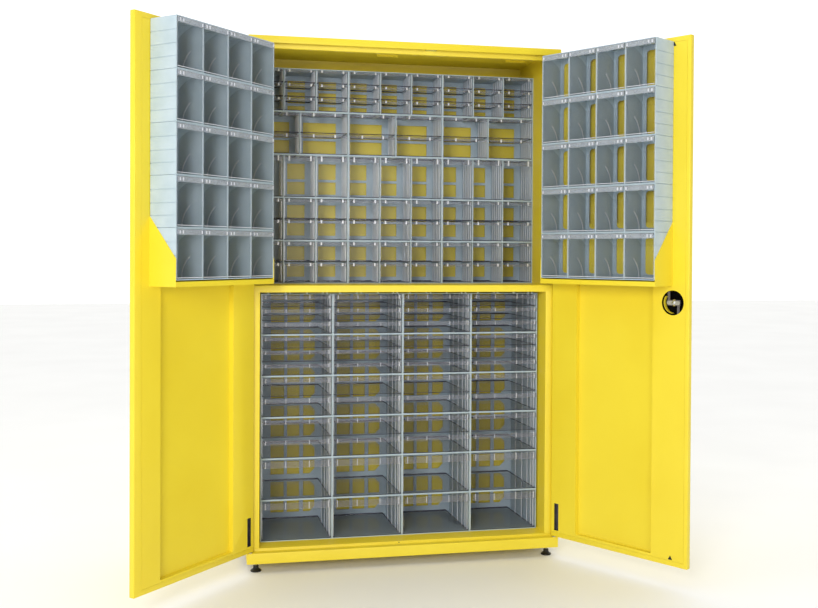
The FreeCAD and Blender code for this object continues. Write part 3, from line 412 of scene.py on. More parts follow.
def pierce(bm, way, low, high):
    """Open a hole between the faces that look towards way and the ones behind them."""
    faces = patch(bm, way, low, high) + patch(bm, -way, low, high)
    rims = [edge for edge in unique(edge for face in faces for edge in face.edges)
            if sum(face in faces for face in edge.link_faces) == 1]
    bmesh.ops.delete(bm, geom=faces, context="FACES")
    bmesh.ops.bridge_loops(bm, edges=rims)


def corner_edges(bm, way, low, high):
    """The edges along way at the four corners of the box from low to high."""
    depth = max(range(3), key=lambda axis: abs(way[axis]))
    across = [axis for axis in range(3) if axis != depth]

    def at_corner(co):
        return (low[depth] - TOUCH < co[depth] < high[depth] + TOUCH
                and all(min(abs(co[a] - low[a]), abs(co[a] - high[a])) < TOUCH for a in across))

    return [edge for edge in bm.edges
            if abs((edge.verts[0].co - edge.verts[1].co).normalized().dot(way)) > ALIGNED
            and all(at_corner(vert.co) for vert in edge.verts)]


def edges_in(bm, low, high):
    """The edges that lie inside the box from low to high."""
    def inside(co):
        return all(low[a] - TOUCH < co[a] < high[a] + TOUCH for a in range(3))
    return [edge for edge in bm.edges if all(inside(vert.co) for vert in edge.verts)]


def lathe(bm, profile, centre, axis, steps):
    """A closed turned shape: a line of (radius, height) points, spun about an axis through a centre."""
    side = axis.orthogonal().normalized()
    verts = [bm.verts.new(centre + side * radius + axis * height) for radius, height in profile]
    edges = [bm.edges.new(pair) for pair in zip(verts, verts[1:])]
    bmesh.ops.spin(bm, geom=verts + edges, cent=centre, axis=axis, angle=math.tau, steps=steps,
                   use_merge=True)
    bmesh.ops.remove_doubles(bm, verts=bm.verts, dist=TOUCH)


def stamp(bm, mould, places):
    """Copies of a finished shape at several places."""
    for place in places:
        count = len(bm.verts)
        bm.from_mesh(mould)
        bm.verts.ensure_lookup_table()
        bmesh.ops.translate(bm, vec=place, verts=bm.verts[count:])


def mould_of(bm, name):
    """A finished shape kept as a mesh for stamping."""
    mesh = bpy.data.meshes.new(name)
    bm.to_mesh(mesh)
    bm.free()
    return mesh


def piece(name, bm, coats, slot, *replaced, body=None, place=CABINET):
    """A finished piece: put in place, facing outwards, riding on its body and standing for its CAD nodes."""
    bmesh.ops.transform(bm, matrix=place, verts=bm.verts)
    bmesh.ops.recalc_face_normals(bm, faces=bm.faces)
    mesh = mould_of(bm, name)
    for coat in coats:
        mesh.materials.append(coat)
    mesh.shade_smooth()
    mesh.set_sharp_from_angle(angle=SHARP)
    made = bpy.data.objects.new(name, mesh)
    bpy.context.scene.collection.objects.link(made)
    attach(made, body or BODY_OF[replaced[0]])
    if replaced:
        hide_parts(*replaced)
    return made


# Carcass

def base_tray():
    """Stepped base pan, open below, with a plate for a foot in each corner."""
    low, high = whole("base_tray")
    ledge, riser = whole("hinge_washers")[0].z, whole("top_stop_rail")[0].y
    bm = bmesh.new()
    prism(bm, ((low.x, low.y, low.z), (low.x, low.y, ledge), (low.x, riser, ledge), (low.x, riser, high.z),
               (low.x, high.y, high.z), (low.x, high.y, low.z)), RIGHTWARD * (high.x - low.x))
    under = patch(bm, DOWN, low, (high.x, high.y, low.z))
    bmesh.ops.delete(bm, geom=under, context="FACES_ONLY")
    round_edges(bm, [edge for edge in bm.edges if len(edge.link_faces) == 2], FOLD_RADIUS)
    thicken(bm, (low + high) / 2)
    for x in (low.x + GAUGE, high.x - GAUGE - FOOT_PLATE[0]):
        for y in (low.y + GAUGE, high.y - GAUGE - FOOT_PLATE[1]):
            corner = Vector((x, y, low.z))
            block(bm, corner, corner + Vector(FOOT_PLATE))
    middle = (ledge + high.z) / 2
    # The screw hole is sunk a little and coloured black: painted shade.
    emboss(bm, FORWARD, (STOP_HOLE_X - STOP_HOLE / 2, riser, middle - STOP_HOLE / 2),
           (STOP_HOLE_X + STOP_HOLE / 2, riser, middle + STOP_HOLE / 2), -STOP_HOLE_DEPTH, SECOND)
    piece("base_tray_sheet", bm, [POWDER, BLACK_AND_HOLE_SHADE], "yellow_powder_coat", "base_tray")


def roof_cap():
    """Roof pan, open below, with two tabs under it."""
    low, high = whole("roof_cap")
    bm = bmesh.new()
    block(bm, low, high)
    bmesh.ops.delete(bm, geom=patch(bm, DOWN, low, (high.x, high.y, low.z)), context="FACES_ONLY")
    round_edges(bm, [edge for edge in bm.edges if len(edge.link_faces) == 2], FOLD_RADIUS)
    thicken(bm, (low + high) / 2)
    under = high.z - GAUGE
    for x in ROOF_TABS:
        block(bm, (x - TAB_WIDTH / 2, 0, under - TAB_DROP), (x + TAB_WIDTH / 2, TAB_GAUGE, under))
    piece("roof_cap_sheet", bm, [POWDER], "yellow_powder_coat", "roof_cap")


def side_panels():
    """Outer side walls, each with a narrow stile folded in at the front."""
    for side, hand in zip(SIDES, (-1, 1)):
        low, high = whole(f"{side}_side_panel")
        outer, inner = (low.x, high.x) if hand < 0 else (high.x, low.x)
        bm = bmesh.new()
        folded(bm, ((inner, low.y, low.z), (outer, low.y, low.z), (outer, high.y, low.z)),
               UP * (high.z - low.z))
        thicken(bm, Vector((0, high.y, 0)))
        piece(f"{side}_side_sheet", bm, [POWDER], "yellow_powder_coat", f"{side}_side_panel")


def back_panel():
    """Back of sheets that meet at upright seams, with spot-weld dimples along the shelf and both ends."""
    low, high = whole("back_panel")
    shelf = whole("middle_shelf")[1].z
    bm = bmesh.new()
    block(bm, low, high)
    pitch = (high.x - low.x - 2 * DIMPLE_SIDE) / (DIMPLES - 1)
    for z in (low.z + DIMPLE_END, shelf - GAUGE, high.z - DIMPLE_END):
        for step in range(DIMPLES):
            x = low.x + DIMPLE_SIDE + step * pitch
            emboss(bm, BACKWARD, (x - DIMPLE_HALF, high.y, z - DIMPLE_HALF),
                   (x + DIMPLE_HALF, high.y, z + DIMPLE_HALF), -DIMPLE_DEPTH)
    for x in BACK_SEAMS:
        emboss(bm, FORWARD, (x - SEAM, low.y, low.z), (x + SEAM, low.y, high.z), -SEAM / 2)
    piece("back_panel_sheet", bm, [POWDER], "yellow_powder_coat", "back_panel")


def inner_sheets():
    """Door-stop rail, middle shelf and the side liners, all folded sheet."""
    low, high = whole("top_stop_rail")
    bm = bmesh.new()
    folded(bm, ((low.x, low.y, high.z), (low.x, low.y, low.z), (low.x, high.y, low.z)),
           RIGHTWARD * (high.x - low.x))
    thicken(bm, Vector((0, high.y, high.z)))
    piece("top_stop_rail_sheet", bm, [POWDER], "yellow_powder_coat", "top_stop_rail")

    low, high = whole("middle_shelf")
    edge = whole("top_stop_rail")[1].x
    bm = bmesh.new()
    folded(bm, ((-edge, low.y, low.z), (-edge, low.y, high.z), (-edge, high.y, high.z)), RIGHTWARD * 2 * edge)
    thicken(bm, Vector((0, high.y, low.z)))
    piece("middle_shelf_sheet", bm, [POWDER], "yellow_powder_coat", "middle_shelf")

    bm = bmesh.new()
    for low, high in solids("side_liners"):
        inner, outer = sorted((low.x, high.x), key=abs)
        skin = bmesh.new()
        if high.x - low.x > 2 * GAUGE:
            folded(skin, ((outer, low.y, low.z), (inner, low.y, low.z), (inner, high.y, low.z)),
                   UP * (high.z - low.z))
            thicken(skin, Vector((outer, high.y, low.z)))
        else:
            block(skin, low, high)
        stamp(bm, mould_of(skin, "liner"), [Vector()])
    piece("side_liner_sheets", bm, [POWDER], "yellow_powder_coat", "side_liners")


def foot_centre(low, high):
    """Middle of a foot, on the floor."""
    return Vector(((low.x + high.x) / 2, (low.y + high.y) / 2, 0))


def feet():
    """Levelling feet: a black pad with a bead round its rim, a hub, and a threaded zinc-plated stem."""
    boxes, hub_top = solids("levelling_feet"), FOOT_HUB[-1][1]
    bm = bmesh.new()
    for low, high in boxes:
        rim = [((high.x - low.x) / 2 - inset, height) for inset, height in PAD_RIM]
        lathe(bm, ((0, 0), *rim, *FOOT_HUB, (0, hub_top)), foot_centre(low, high), UP, ROUND_STEPS)
    pads = len(bm.faces)
    for low, high in boxes:
        thread = [(THREAD_CREST if turn % 2 else THREAD_ROOT, hub_top + turn)
                  for turn in range(int(high.z) - hub_top)]
        lathe(bm, ((0, hub_top - STEM_SUNK), *thread, (0, high.z)), foot_centre(low, high), UP, SMALL_STEPS)
    coat_since(bm, pads, SECOND)
    piece("levelling_feet_pads", bm, [BLACK_AND_HOLE_SHADE, ZINC], "black_plastic", "levelling_feet")


# Doors

def door_panel(side):
    """Outer door sheet, its edges folded round to the inner face."""
    low, high = whole(f"{side}_door_panel", DOOR[side])
    inner_low, inner_high = whole(f"{side}_door_liner", DOOR[side])
    bm = bmesh.new()
    block(bm, low, high)
    round_edges(bm, bm.edges[:], FOLD_RADIUS)
    window = patch(bm, BACKWARD, (inner_low.x - SEAM / 2, high.y, inner_low.z - SEAM / 2),
                   (inner_high.x + SEAM / 2, high.y, inner_high.z + SEAM / 2))
    bmesh.ops.delete(bm, geom=window, context="FACES")
    thicken(bm, (low + high) / 2)
    piece(f"{side}_door_sheet", bm, [POWDER], "yellow_powder_coat", f"{side}_door_panel", place=DOOR[side])


def door_liner(side):
    """Inner door sheet with a deep recess, hinge slots, and on the right door the round lock window."""
    low, high = whole(f"{side}_door_liner", DOOR[side])
    door_low, door_high = whole(f"{side}_door_panel", DOOR[side])
    face = high.y
    bm = bmesh.new()
    bm.faces.new([bm.verts.new(point) for point in (
        (low.x, face, low.z), (low.x, face, high.z), (high.x, face, high.z), (high.x, face, low.z))])
    bm.normal_update()
    rim_low = Vector((HINGE_CHANNEL, face, low.z + RECESS_BORDER))
    rim_high = Vector((door_high.x - FREE_CHANNEL[side], face, high.z - RECESS_BORDER))
    floor = low.y + RECESS_FLOOR_GAP
    floor_low, floor_high = (rim_low.x, floor, rim_low.z), (rim_high.x, floor, rim_high.z)
    emboss(bm, BACKWARD, rim_low, rim_high, floor - face)
    bmesh.ops.delete(bm, geom=patch(bm, BACKWARD, floor_low, floor_high), context="FACES")
    round_edges(bm, corner_edges(bm, BACKWARD, floor_low, rim_high), RECESS_CORNER)
    rim = [edge for edge in edges_in(bm, rim_low, rim_high) if len(edge.link_faces) == 2]
    round_edges(bm, rim, RECESS_EDGE)
    # The hinge slots' walls and floors are dark steel: painted shade.
    for z in (door_low.z + SLOT_RISE, door_high.z - SLOT_RISE - SLOT_HEIGHT):
        emboss(bm, BACKWARD, (SLOT_INSET, face, z), (SLOT_INSET + SLOT_WIDTH, face, z + SLOT_HEIGHT),
               -SLOT_DEPTH, SECOND)
    if side == "right":
        lock_low, lock_high = whole("lock_case", DOOR[side])
        u, z = (lock_low.x + lock_high.x) / 2, (lock_low.z + lock_high.z) / 2
        near = Vector((u - LOCK_WINDOW_RADIUS, face, z - LOCK_WINDOW_RADIUS))
        far = Vector((u + LOCK_WINDOW_RADIUS, face, z + LOCK_WINDOW_RADIUS))
        emboss(bm, BACKWARD, near, far, -LOCK_COLLAR)
        near.y -= LOCK_COLLAR
        round_edges(bm, corner_edges(bm, BACKWARD, near, far), LOCK_WINDOW_RADIUS - TOUCH,
                    LOCK_WINDOW_SEGMENTS)
        bmesh.ops.delete(bm, geom=patch(bm, BACKWARD, near, (far.x, near.y, far.z)), context="FACES")
    thicken(bm, Vector((high.x / 2, low.y, high.z / 2)))
    piece(f"{side}_door_inner_sheet", bm, [POWDER, STEEL_AND_SLOT_SHADE], "yellow_powder_coat", f"{side}_door_liner",
          place=DOOR[side])


def key_marks():
    """Small triangular black plugs near the free corners of the right door's inner face."""
    low, high = whole("right_door_liner", DOOR["right"])
    bm = bmesh.new()
    for z in (low.z + MARK_RISE / 2, high.z - MARK_RISE / 2):
        place = Matrix.Translation((MARK_U, high.y, z)) @ Matrix.Rotation(math.radians(-90), 4, "X")
        made = bmesh.ops.create_circle(bm, cap_ends=True, segments=MARK_SIDES, radius=MARK_RADIUS,
                                       matrix=place @ Matrix.Rotation(math.pi, 4, "Z"))
        faces = unique(face for vert in made["verts"] for face in vert.link_faces)
        draw_out(bm, faces, BACKWARD * MARK_PROUD)
    piece("right_door_plugs", bm, [BLACK_AND_HOLE_SHADE], "black_plastic", body="right_door", place=DOOR["right"])


def lock_guard():
    """Curved yellow wall that stands in the lock case on the hinge side of the round window."""
    low, high = whole("lock_case", DOOR["right"])
    middle = (low + high) / 2
    centre = Vector((middle.x, 0, middle.z))
    start = Matrix.Rotation(-math.radians(GUARD_START), 4, BACKWARD) @ RIGHTWARD
    bm = bmesh.new()
    face = bm.faces.new([bm.verts.new(centre + start * radius + BACKWARD * y) for radius, y in (
        (GUARD_RADIUS, low.y + GAUGE), (GUARD_RADIUS + GUARD_WALL, low.y + GAUGE),
        (GUARD_RADIUS + GUARD_WALL, high.y), (GUARD_RADIUS, high.y))])
    bmesh.ops.spin(bm, geom=[face, *face.edges, *face.verts], cent=centre, axis=BACKWARD,
                   angle=-math.radians(GUARD_SWEEP), steps=GUARD_STEPS)
    piece("lock_guard_wall", bm, [POWDER], "yellow_powder_coat", body="right_door", place=DOOR["right"])


def rack_tray(side):
    """Folded tray under a rack: back, floor, low front lip and two sloping cheeks."""
    low, high = whole(f"{side}_rack_tray", DOOR[side])
    front = low.z + TRAY_CHEEK_FRONT
    bm = bmesh.new()
    prism(bm, ((low.x, low.y, low.z), (low.x, high.y, low.z), (low.x, high.y, front), (low.x, low.y, high.z)),
          RIGHTWARD * (high.x - low.x))
    bm.normal_update()
    slope = [face for face in bm.faces if face.normal.z > LOOKS_UP]
    bmesh.ops.delete(bm, geom=slope, context="FACES_ONLY")
    upper_front = patch(bm, BACKWARD, (low.x, high.y, low.z + TRAY_LIP), (high.x, high.y, front))
    bmesh.ops.delete(bm, geom=upper_front, context="FACES")
    thicken(bm, (low + high) / 2)
    piece(f"{side}_rack_tray_sheet", bm, [POWDER], "yellow_powder_coat", f"{side}_rack_tray",
          place=DOOR[side])


def lock_axis(y):
    """Point on the lock's axis, at a distance y from the right door's outer face."""
    low, high = whole("lock_rosette", DOOR["right"])
    return Vector(((low.x + high.x) / 2, y, (low.z + high.z) / 2))


def lock_rosette():
    """Turned ring under the outside handle."""
    low, high = whole("lock_rosette", DOOR["right"])
    radius, thick = (high.x - low.x) / 2, high.y - low.y
    edge = [(radius - inset, thick - depth) for inset, depth in ROSETTE_EDGE]
    bm = bmesh.new()
    lathe(bm, ((SPINDLE_BORE, 0), (radius, 0), *edge, (SPINDLE_BORE, thick), (SPINDLE_BORE, 0)),
          lock_axis(high.y), FORWARD, ROSETTE_STEPS)
    piece("lock_rosette_turned", bm, [BLACK_AND_HOLE_SHADE], "black_plastic", "lock_rosette", place=DOOR["right"])


def lock_handle():
    """Outside T handle: grip, neck and the spindle that goes through the door."""
    low, high = whole("lock_handle", DOOR["right"])
    seat = whole("lock_rosette", DOOR["right"])[0].y
    bm = bmesh.new()
    block(bm, (low.x + GRIP_TRIM, low.y, low.z), (high.x - GRIP_TRIM, low.y + GRIP_THICK, high.z))
    round_edges(bm, bm.edges[:], GRIP_ROUND, GRIP_SEGMENTS)
    reach = seat - low.y - GRIP_THICK
    lathe(bm, ((0, 0), (NECK_RADIUS, 0), (NECK_RADIUS, reach - NECK_TAPER), (NECK_TOP, reach + NECK_SUNK),
               (0, NECK_END)), lock_axis(seat - NECK_GAP), FORWARD, ROUND_STEPS)
    length = high.y - seat
    lathe(bm, ((0, 0), (SPINDLE_RADIUS, 0), (SPINDLE_RADIUS, length), (0, length)),
          lock_axis(seat), BACKWARD, SPINDLE_STEPS)
    piece("lock_handle_moulded", bm, [BLACK_AND_HOLE_SHADE], "black_plastic", "lock_handle", place=DOOR["right"])


def lock_cam():
    """Cam that shows in the round window: bar, straw washer, front cheek with its nut, and crank pins."""
    low, high = whole("lock_cam", DOOR["right"])
    foot, front = low.y, high.y + CHEEK_GAP
    middle = lock_axis(foot)
    bm = bmesh.new()
    cam_bar(bm, low.x, high.x, middle.z, foot, CAM_THICK)
    bar = len(bm.faces)
    face = CAM_THICK - WASHER_DROP
    lathe(bm, ((0, 0), (WASHER_RADIUS, 0), (WASHER_RADIUS, face - WASHER_EDGE),
               (WASHER_RADIUS - WASHER_EDGE, face), (0, face)), middle, BACKWARD, ROUND_STEPS)
    coat_since(bm, bar, SECOND)
    cam_bar(bm, low.x, high.x, middle.z, front, CHEEK_THICK)
    lathe(bm, ((0, 0), (NUT_RADIUS, 0), (NUT_RADIUS, NUT_SIDE), (NUT_TOP, NUT_HEIGHT), (0, NUT_HEIGHT)),
          lock_axis(front + CHEEK_THICK), BACKWARD, NUT_SIDES)
    length = front + CHEEK_THICK - foot + PIN_HEAD
    for x, radius in ((low.x + CAM_HALF, CRANK_PIN_RADIUS), (middle.x, STUD_RADIUS),
                      (high.x - CAM_HALF, CRANK_PIN_RADIUS)):
        lathe(bm, ((0, 0), (radius, 0), (radius, length - PIN_EDGE), (radius - PIN_EDGE, length),
                   (0, length)), Vector((x, foot, middle.z)), BACKWARD, SMALL_STEPS)
    piece("lock_cam_plated", bm, [ZINC, STRAW_ZINC], "zinc_plated_steel", "lock_cam", place=DOOR["right"])


def cam_bar(bm, left, right, z, y, thick):
    """A flat bar of the cam with rounded ends, from a distance y on."""
    low, high = (left, y, z - CAM_HALF), (right, y + thick, z + CAM_HALF)
    block(bm, low, high)
    round_edges(bm, corner_edges(bm, BACKWARD, low, high), CAM_ROUND, CAM_SEGMENTS)


# Racks and bins on the doors

def rack_mould(width, depth, height):
    """One rack housing: four open cells, a rounded window in the back of each, grooves round the outside."""
    bm = bmesh.new()
    block(bm, (0, 0, 0), (width, depth, height))
    round_edges(bm, corner_edges(bm, BACKWARD, (0, 0, 0), (width, depth, height)), RACK_EDGE, CHAMFER)
    for share in RACK_GROOVES:
        z = share * height
        for way, x in ((LEFTWARD, 0), (RIGHTWARD, width)):
            emboss(bm, way, (x, 0, z), (x, depth, z + GROOVE_HEIGHT), -GROOVE_DEPTH)
    pitch = (width - WALL) / RACK_COLUMNS
    for column in range(RACK_COLUMNS):
        left = WALL + column * pitch
        right = left + pitch - WALL
        emboss(bm, BACKWARD, (left, depth, WALL), (right, depth, height - WALL), WALL - depth)
        low = Vector((left + RACK_WINDOW_BORDER, 0, WALL + RACK_WINDOW_BORDER))
        high = Vector((right - RACK_WINDOW_BORDER, WALL, height - WALL - RACK_WINDOW_BORDER))
        pierce(bm, BACKWARD, low, high)
        round_edges(bm, corner_edges(bm, BACKWARD, low, high), RACK_WINDOW_RADIUS, RACK_WINDOW_SEGMENTS)
    return mould_of(bm, "rack_housing")


def racks(side):
    """The stack of rack housings on one door."""
    low, high = whole(f"{side}_rack_housings", DOOR[side])
    row = (high.z - low.z) / RACK_ROWS
    mould = rack_mould(high.x - low.x, high.y - low.y, row - STACK_PLAY)
    bm = bmesh.new()
    stamp(bm, mould, [low + UP * (row * step) for step in range(RACK_ROWS)])
    piece(f"{side}_rack_housings_moulded", bm, [STYRENE], "pale_housing_plastic", f"{side}_rack_housings",
          place=DOOR[side])


def bin_mould(width, depth, height):
    """One tilting bin. Its side tops and its track ribs are arcs about the toe, where it tips out."""
    body = depth - BIN_LIP_REACH
    start = math.acos(body / height)
    angles = [start + (math.pi / 2 - start) * step / BIN_ARC_STEPS for step in range(BIN_ARC_STEPS, -1, -1)]
    arc = [(body - height * math.cos(angle), height * math.sin(angle)) for angle in angles]
    outline = ((0, BIN_HEEL), (BIN_HEEL, 0), (body - BIN_TOE, 0), (body, BIN_TOE), *arc)
    bm = bmesh.new()
    prism(bm, [(0, y, z) for y, z in outline], RIGHTWARD * width)
    bm.normal_update()
    top = [face for face in bm.faces if face.normal.z > LOOKS_UP and len(face.verts) == 4]
    bmesh.ops.delete(bm, geom=top, context="FACES")
    label, right_highlight_x = height - BIN_LIP_HEIGHT, width - EDGE_HIGHLIGHT_WIDTH
    paint(bm, FORWARD, (0, 0, 0), (width, 0, height), REAR_COAT)
    # A bin's upright front edges and its lower front edge are paler: painted highlight.
    paint(bm, BACKWARD, (0, body, BIN_TOE), (EDGE_HIGHLIGHT_WIDTH, body, label), LABEL_AND_HIGHLIGHT_COAT)
    paint(bm, BACKWARD, (right_highlight_x, body, BIN_TOE), (width, body, label), LABEL_AND_HIGHLIGHT_COAT)
    paint(bm, BACKWARD, (EDGE_HIGHLIGHT_WIDTH, body, BIN_TOE), (right_highlight_x, body, BIN_TOE + EDGE_HIGHLIGHT_WIDTH), HIGHLIGHT_COAT)
    emboss(bm, BACKWARD, (BIN_LIP_INSET, body, label), (width - BIN_LIP_INSET, body, height),
           BIN_LIP_REACH - BIN_LUG_PROUD, LABEL_AND_HIGHLIGHT_COAT)
    thicken(bm, (width / 2, body / 2, height / 2), DRAWER_WALL)
    # The lugs are paler: painted highlight.
    front = depth - BIN_LUG_PROUD
    for share in BIN_LUGS:
        x = share * width
        emboss(bm, BACKWARD, (x - BIN_LUG_WIDTH / 2, front, label + BIN_LUG_INSET),
               (x + BIN_LUG_WIDTH / 2, front, height - BIN_LUG_INSET), BIN_LUG_PROUD, HIGHLIGHT_COAT)
    for x in (DRAWER_WALL, width - DRAWER_WALL - BIN_TRACK_PROUD):
        track(bm, x, body)
    return mould_of(bm, "tilt_bin")


def track(bm, x, toe):
    """A thin rib on a bin's side wall, part of a circle about the toe."""
    inner, outer = BIN_TRACK_RADIUS - BIN_TRACK_WIDTH / 2, BIN_TRACK_RADIUS + BIN_TRACK_WIDTH / 2
    rise, walls = DRAWER_WALL, len(bm.faces)
    face = bm.faces.new([bm.verts.new(point) for point in (
        (x, toe - outer, rise), (x, toe - inner, rise),
        (x + BIN_TRACK_PROUD, toe - inner, rise), (x + BIN_TRACK_PROUD, toe - outer, rise))])
    bmesh.ops.spin(bm, geom=[face, *face.edges, *face.verts], cent=(x, toe, rise), axis=RIGHTWARD,
                   angle=-math.radians(BIN_TRACK_DEGREES), steps=BIN_TRACK_STEPS)
    # The track rib is paler: painted highlight.
    coat_since(bm, walls, HIGHLIGHT_COAT)


def bins(side):
    """The four bins of each rack row."""
    mould = None
    for row in range(1, RACK_ROWS + 1):
        node = f"{side}_bin_row_{row}"
        boxes = solids(node, DOOR[side])
        if mould is None:
            mould = bin_mould(*(boxes[0][1] - boxes[0][0]))
        bm = bmesh.new()
        stamp(bm, mould, [low for low, _ in boxes])
        piece(f"{node}_clear", bm, BIN_COATS, "clear_drawer_plastic", node, place=DOOR[side])


# Drawer blocks

def housing_mould(block_name, columns, tiers, size, top_row, bottom_row):
    """One drawer housing: cells with side rails for each tier, windows in the back, pegs on a top one."""
    width, depth, height = size
    bm = bmesh.new()
    block(bm, (0, 0, 0), size)
    pitch = (width - WALL) / columns
    tier = (height - 2 * WALL + RAIL_THICK) / tiers
    for i in range(columns):
        left = WALL + i * pitch
        right = left + pitch - WALL
        emboss(bm, FORWARD, (left, 0, WALL), (right, 0, height - WALL), WALL - depth)
        for k in range(1, tiers):
            top = WALL + k * tier
            for way, x in ((RIGHTWARD, left), (LEFTWARD, right)):
                emboss(bm, way, (x, RAIL_SETBACK, top - RAIL_THICK), (x, depth - WALL - RAIL_END, top),
                       RAIL_WIDTH)
        for low, kept in ((0, bottom_row), (height - WALL, top_row)):
            if not kept:
                pierce(bm, UP, (left + RAIL_WIDTH, CROSS_BAR, low),
                       (right - RAIL_WIDTH, depth - WALL, low + WALL))
    for low, high, cut in housing_windows(block_name, columns, tiers, size):
        pierce(bm, BACKWARD, low, high)
        round_edges(bm, [edge for edge in corner_edges(bm, BACKWARD, low, high)
                         if edge.verts[0].co.x > high.x - TOUCH and abs(edge.verts[0].co.z - cut) < TOUCH],
                    LOWER_WINDOW_CUT, CHAMFER)
    if block_name == "lower" and top_row:
        for share in PEG_SHARES:
            x = share * width
            emboss(bm, UP, (x - PEG_WIDTH / 2, 0, height), (x + PEG_WIDTH / 2, PEG_DEPTH, height), PEG_HEIGHT)
    return mould_of(bm, f"{block_name}_housing_{columns}_{tiers}")


def housing_windows(block_name, columns, tiers, size):
    """Corners of the windows in a housing's back, and the height where a window's right corner is cut off."""
    width, depth, height = size
    if block_name == "upper":
        pitch = width / columns
        spans = [(i * pitch + UPPER_WINDOW_SIDE, (i + 1) * pitch - UPPER_WINDOW_SIDE) for i in range(columns)]
    else:
        spans = LOWER_WINDOW_COLUMNS
    rows = max(tiers, 2)
    bars = [row * height / rows + WINDOW_BAR_RISE[block_name] for row in range(1, rows)]
    lows = [WINDOW_LOW[block_name], *[bar + WINDOW_BAR for bar in bars]]
    highs = [*[bar - WINDOW_BAR for bar in bars], height - WINDOW_HIGH[block_name]]
    windows = []
    for column, (left, right) in enumerate(spans):
        for row, (low, high) in enumerate(zip(lows, highs)):
            cut = NO_CUT
            if block_name == "lower" and column == len(spans) - 1 and row in (0, rows - 1):
                cut = low if row == 0 else high
            windows.append((Vector((left, depth - WALL, low)), Vector((right, depth, high)), cut))
    return windows


def drawer_mould(block_name, tiers, size):
    """One clear drawer: a tub that narrows to the rear, a pull lip with lugs, and upright ribs inside."""
    reach = LIP_REACH[block_name]
    width, height = size.x, size.z
    depth = size.y - reach
    drop = LIP_DROP[block_name] + LIP_GROWTH * height
    bm = bmesh.new()
    block(bm, (0, 0, 0), (width, depth, height))
    round_edges(bm, [edge for edge in bm.edges if min(vert.co.z for vert in edge.verts) < height - TOUCH],
                DRAWER_ROUND, CHAMFER)
    # The chamfers along the bottom edges are dark: painted shade.
    bm.normal_update()
    for face in bm.faces:
        if TOUCH < -face.normal.z < ALIGNED:
            face.material_index = CORNER_SHADE_COAT
    emboss(bm, UP, (DRAWER_WALL, DRAWER_WALL, height), (width - DRAWER_WALL, depth - DRAWER_WALL, height),
           DRAWER_WALL - height)
    # The floor is darker: painted shade.
    paint(bm, UP, (0, 0, DRAWER_WALL), (width, depth, DRAWER_WALL), FLOOR_SHADE_COAT)
    # Dark strips along the floor's sides and rear: painted shade.
    rear = depth - DRAWER_WALL
    for x in (DRAWER_WALL, width - DRAWER_WALL - SHADE_LINE_WIDTH):
        paint(bm, UP, (x, DRAWER_WALL, DRAWER_WALL), (x + SHADE_LINE_WIDTH, rear, DRAWER_WALL), CORNER_SHADE_COAT)
    paint(bm, FORWARD, (DRAWER_WALL, rear, DRAWER_WALL), (width, rear, DRAWER_WALL + SHADE_LINE_WIDTH),
          CORNER_SHADE_COAT)
    # The upright ribs are paler: painted highlight.
    for share in RIB_SHARES[block_name]:
        y = share * depth
        for way, x in ((RIGHTWARD, DRAWER_WALL), (LEFTWARD, width - DRAWER_WALL)):
            emboss(bm, way, (x, y, DRAWER_WALL), (x, y + RIB_WIDTH, height), RIB_PROUD, HIGHLIGHT_COAT)
    left, right = LIP_INSET, width - LIP_INSET
    emboss(bm, FORWARD, (left, 0, height - LIP_THICK), (right, 0, height), reach - LUG_PROUD)
    front = LUG_PROUD - reach
    emboss(bm, DOWN, (left, front, height - LIP_THICK), (right, front + LIP_THICK, height - LIP_THICK),
           drop - LIP_THICK, GRIP_COAT)
    # The lugs and the lip's underside are paler: painted highlight.
    for place in LUG_PLACES[block_name]:
        x, half = width / 2 + place, LUG_WIDTH[block_name] / 2
        emboss(bm, FORWARD, (x - half, front, height - drop), (x + half, front, height), LUG_PROUD, HIGHLIGHT_COAT)
    paint(bm, DOWN, (left, front, height - drop), (right, front + LIP_THICK, height - drop), HIGHLIGHT_COAT)
    for vert in bm.verts:
        narrow = DRAWER_TAPER[block_name] * max(vert.co.y, 0) / depth
        vert.co.x += narrow * (1 - 2 * vert.co.x / width)
    bmesh.ops.translate(bm, vec=BACKWARD * reach, verts=bm.verts)
    return mould_of(bm, f"{block_name}_drawer_{tiers}")


def drawer_block(block_name, layout, across):
    """The housings of one block, and the drawers of each of its rows."""
    low, high = whole(f"{block_name}_housings")
    size = Vector(((high.x - low.x) / across, high.y - low.y, (high.z - low.z) / len(layout)))
    play = Vector((STACK_PLAY, 0, STACK_PLAY))
    housings = bmesh.new()
    for number, (columns, tiers) in enumerate(layout, start=1):
        mould = housing_mould(block_name, columns, tiers, size - play, number == 1, number == len(layout))
        base = low.z + (len(layout) - number) * size.z
        stamp(housings, mould, [Vector((low.x + m * size.x, low.y, base)) + play / 2 for m in range(across)])
        drawers(block_name, number, tiers)
    piece(f"{block_name}_housings_moulded", housings, [STYRENE], "pale_housing_plastic",
          f"{block_name}_housings")


def drawers(block_name, number, tiers):
    """The drawers of one row, and the one that slides by itself where the row has it."""
    mould = None
    for node in (f"{block_name}_row_{number}_drawers", f"{block_name}_row_{number}_single_drawer"):
        if node not in frame["nodes"]:
            continue
        boxes = solids(node)
        if mould is None:
            mould = drawer_mould(block_name, tiers, boxes[0][1] - boxes[0][0])
        bm = bmesh.new()
        stamp(bm, mould, [low for low, _ in boxes])
        piece(f"{node}_clear", bm, DRAWER_COATS, "clear_drawer_plastic", node)


# CAD nodes whose shape is right keep it, and get their finish.
PLATED_NODES = ("foot_locknuts", "hinge_pins", "hinge_washers", "rod_keepers")
STEEL_NODES = ("upper_lock_rod", "lower_lock_rod")
# The lock case is near black: painted shade.
LOCK_SHADE_NODES = ("lock_case",)
BLACK_NODES = ("rod_guides", "left_hinge_bushes", "right_hinge_bushes")


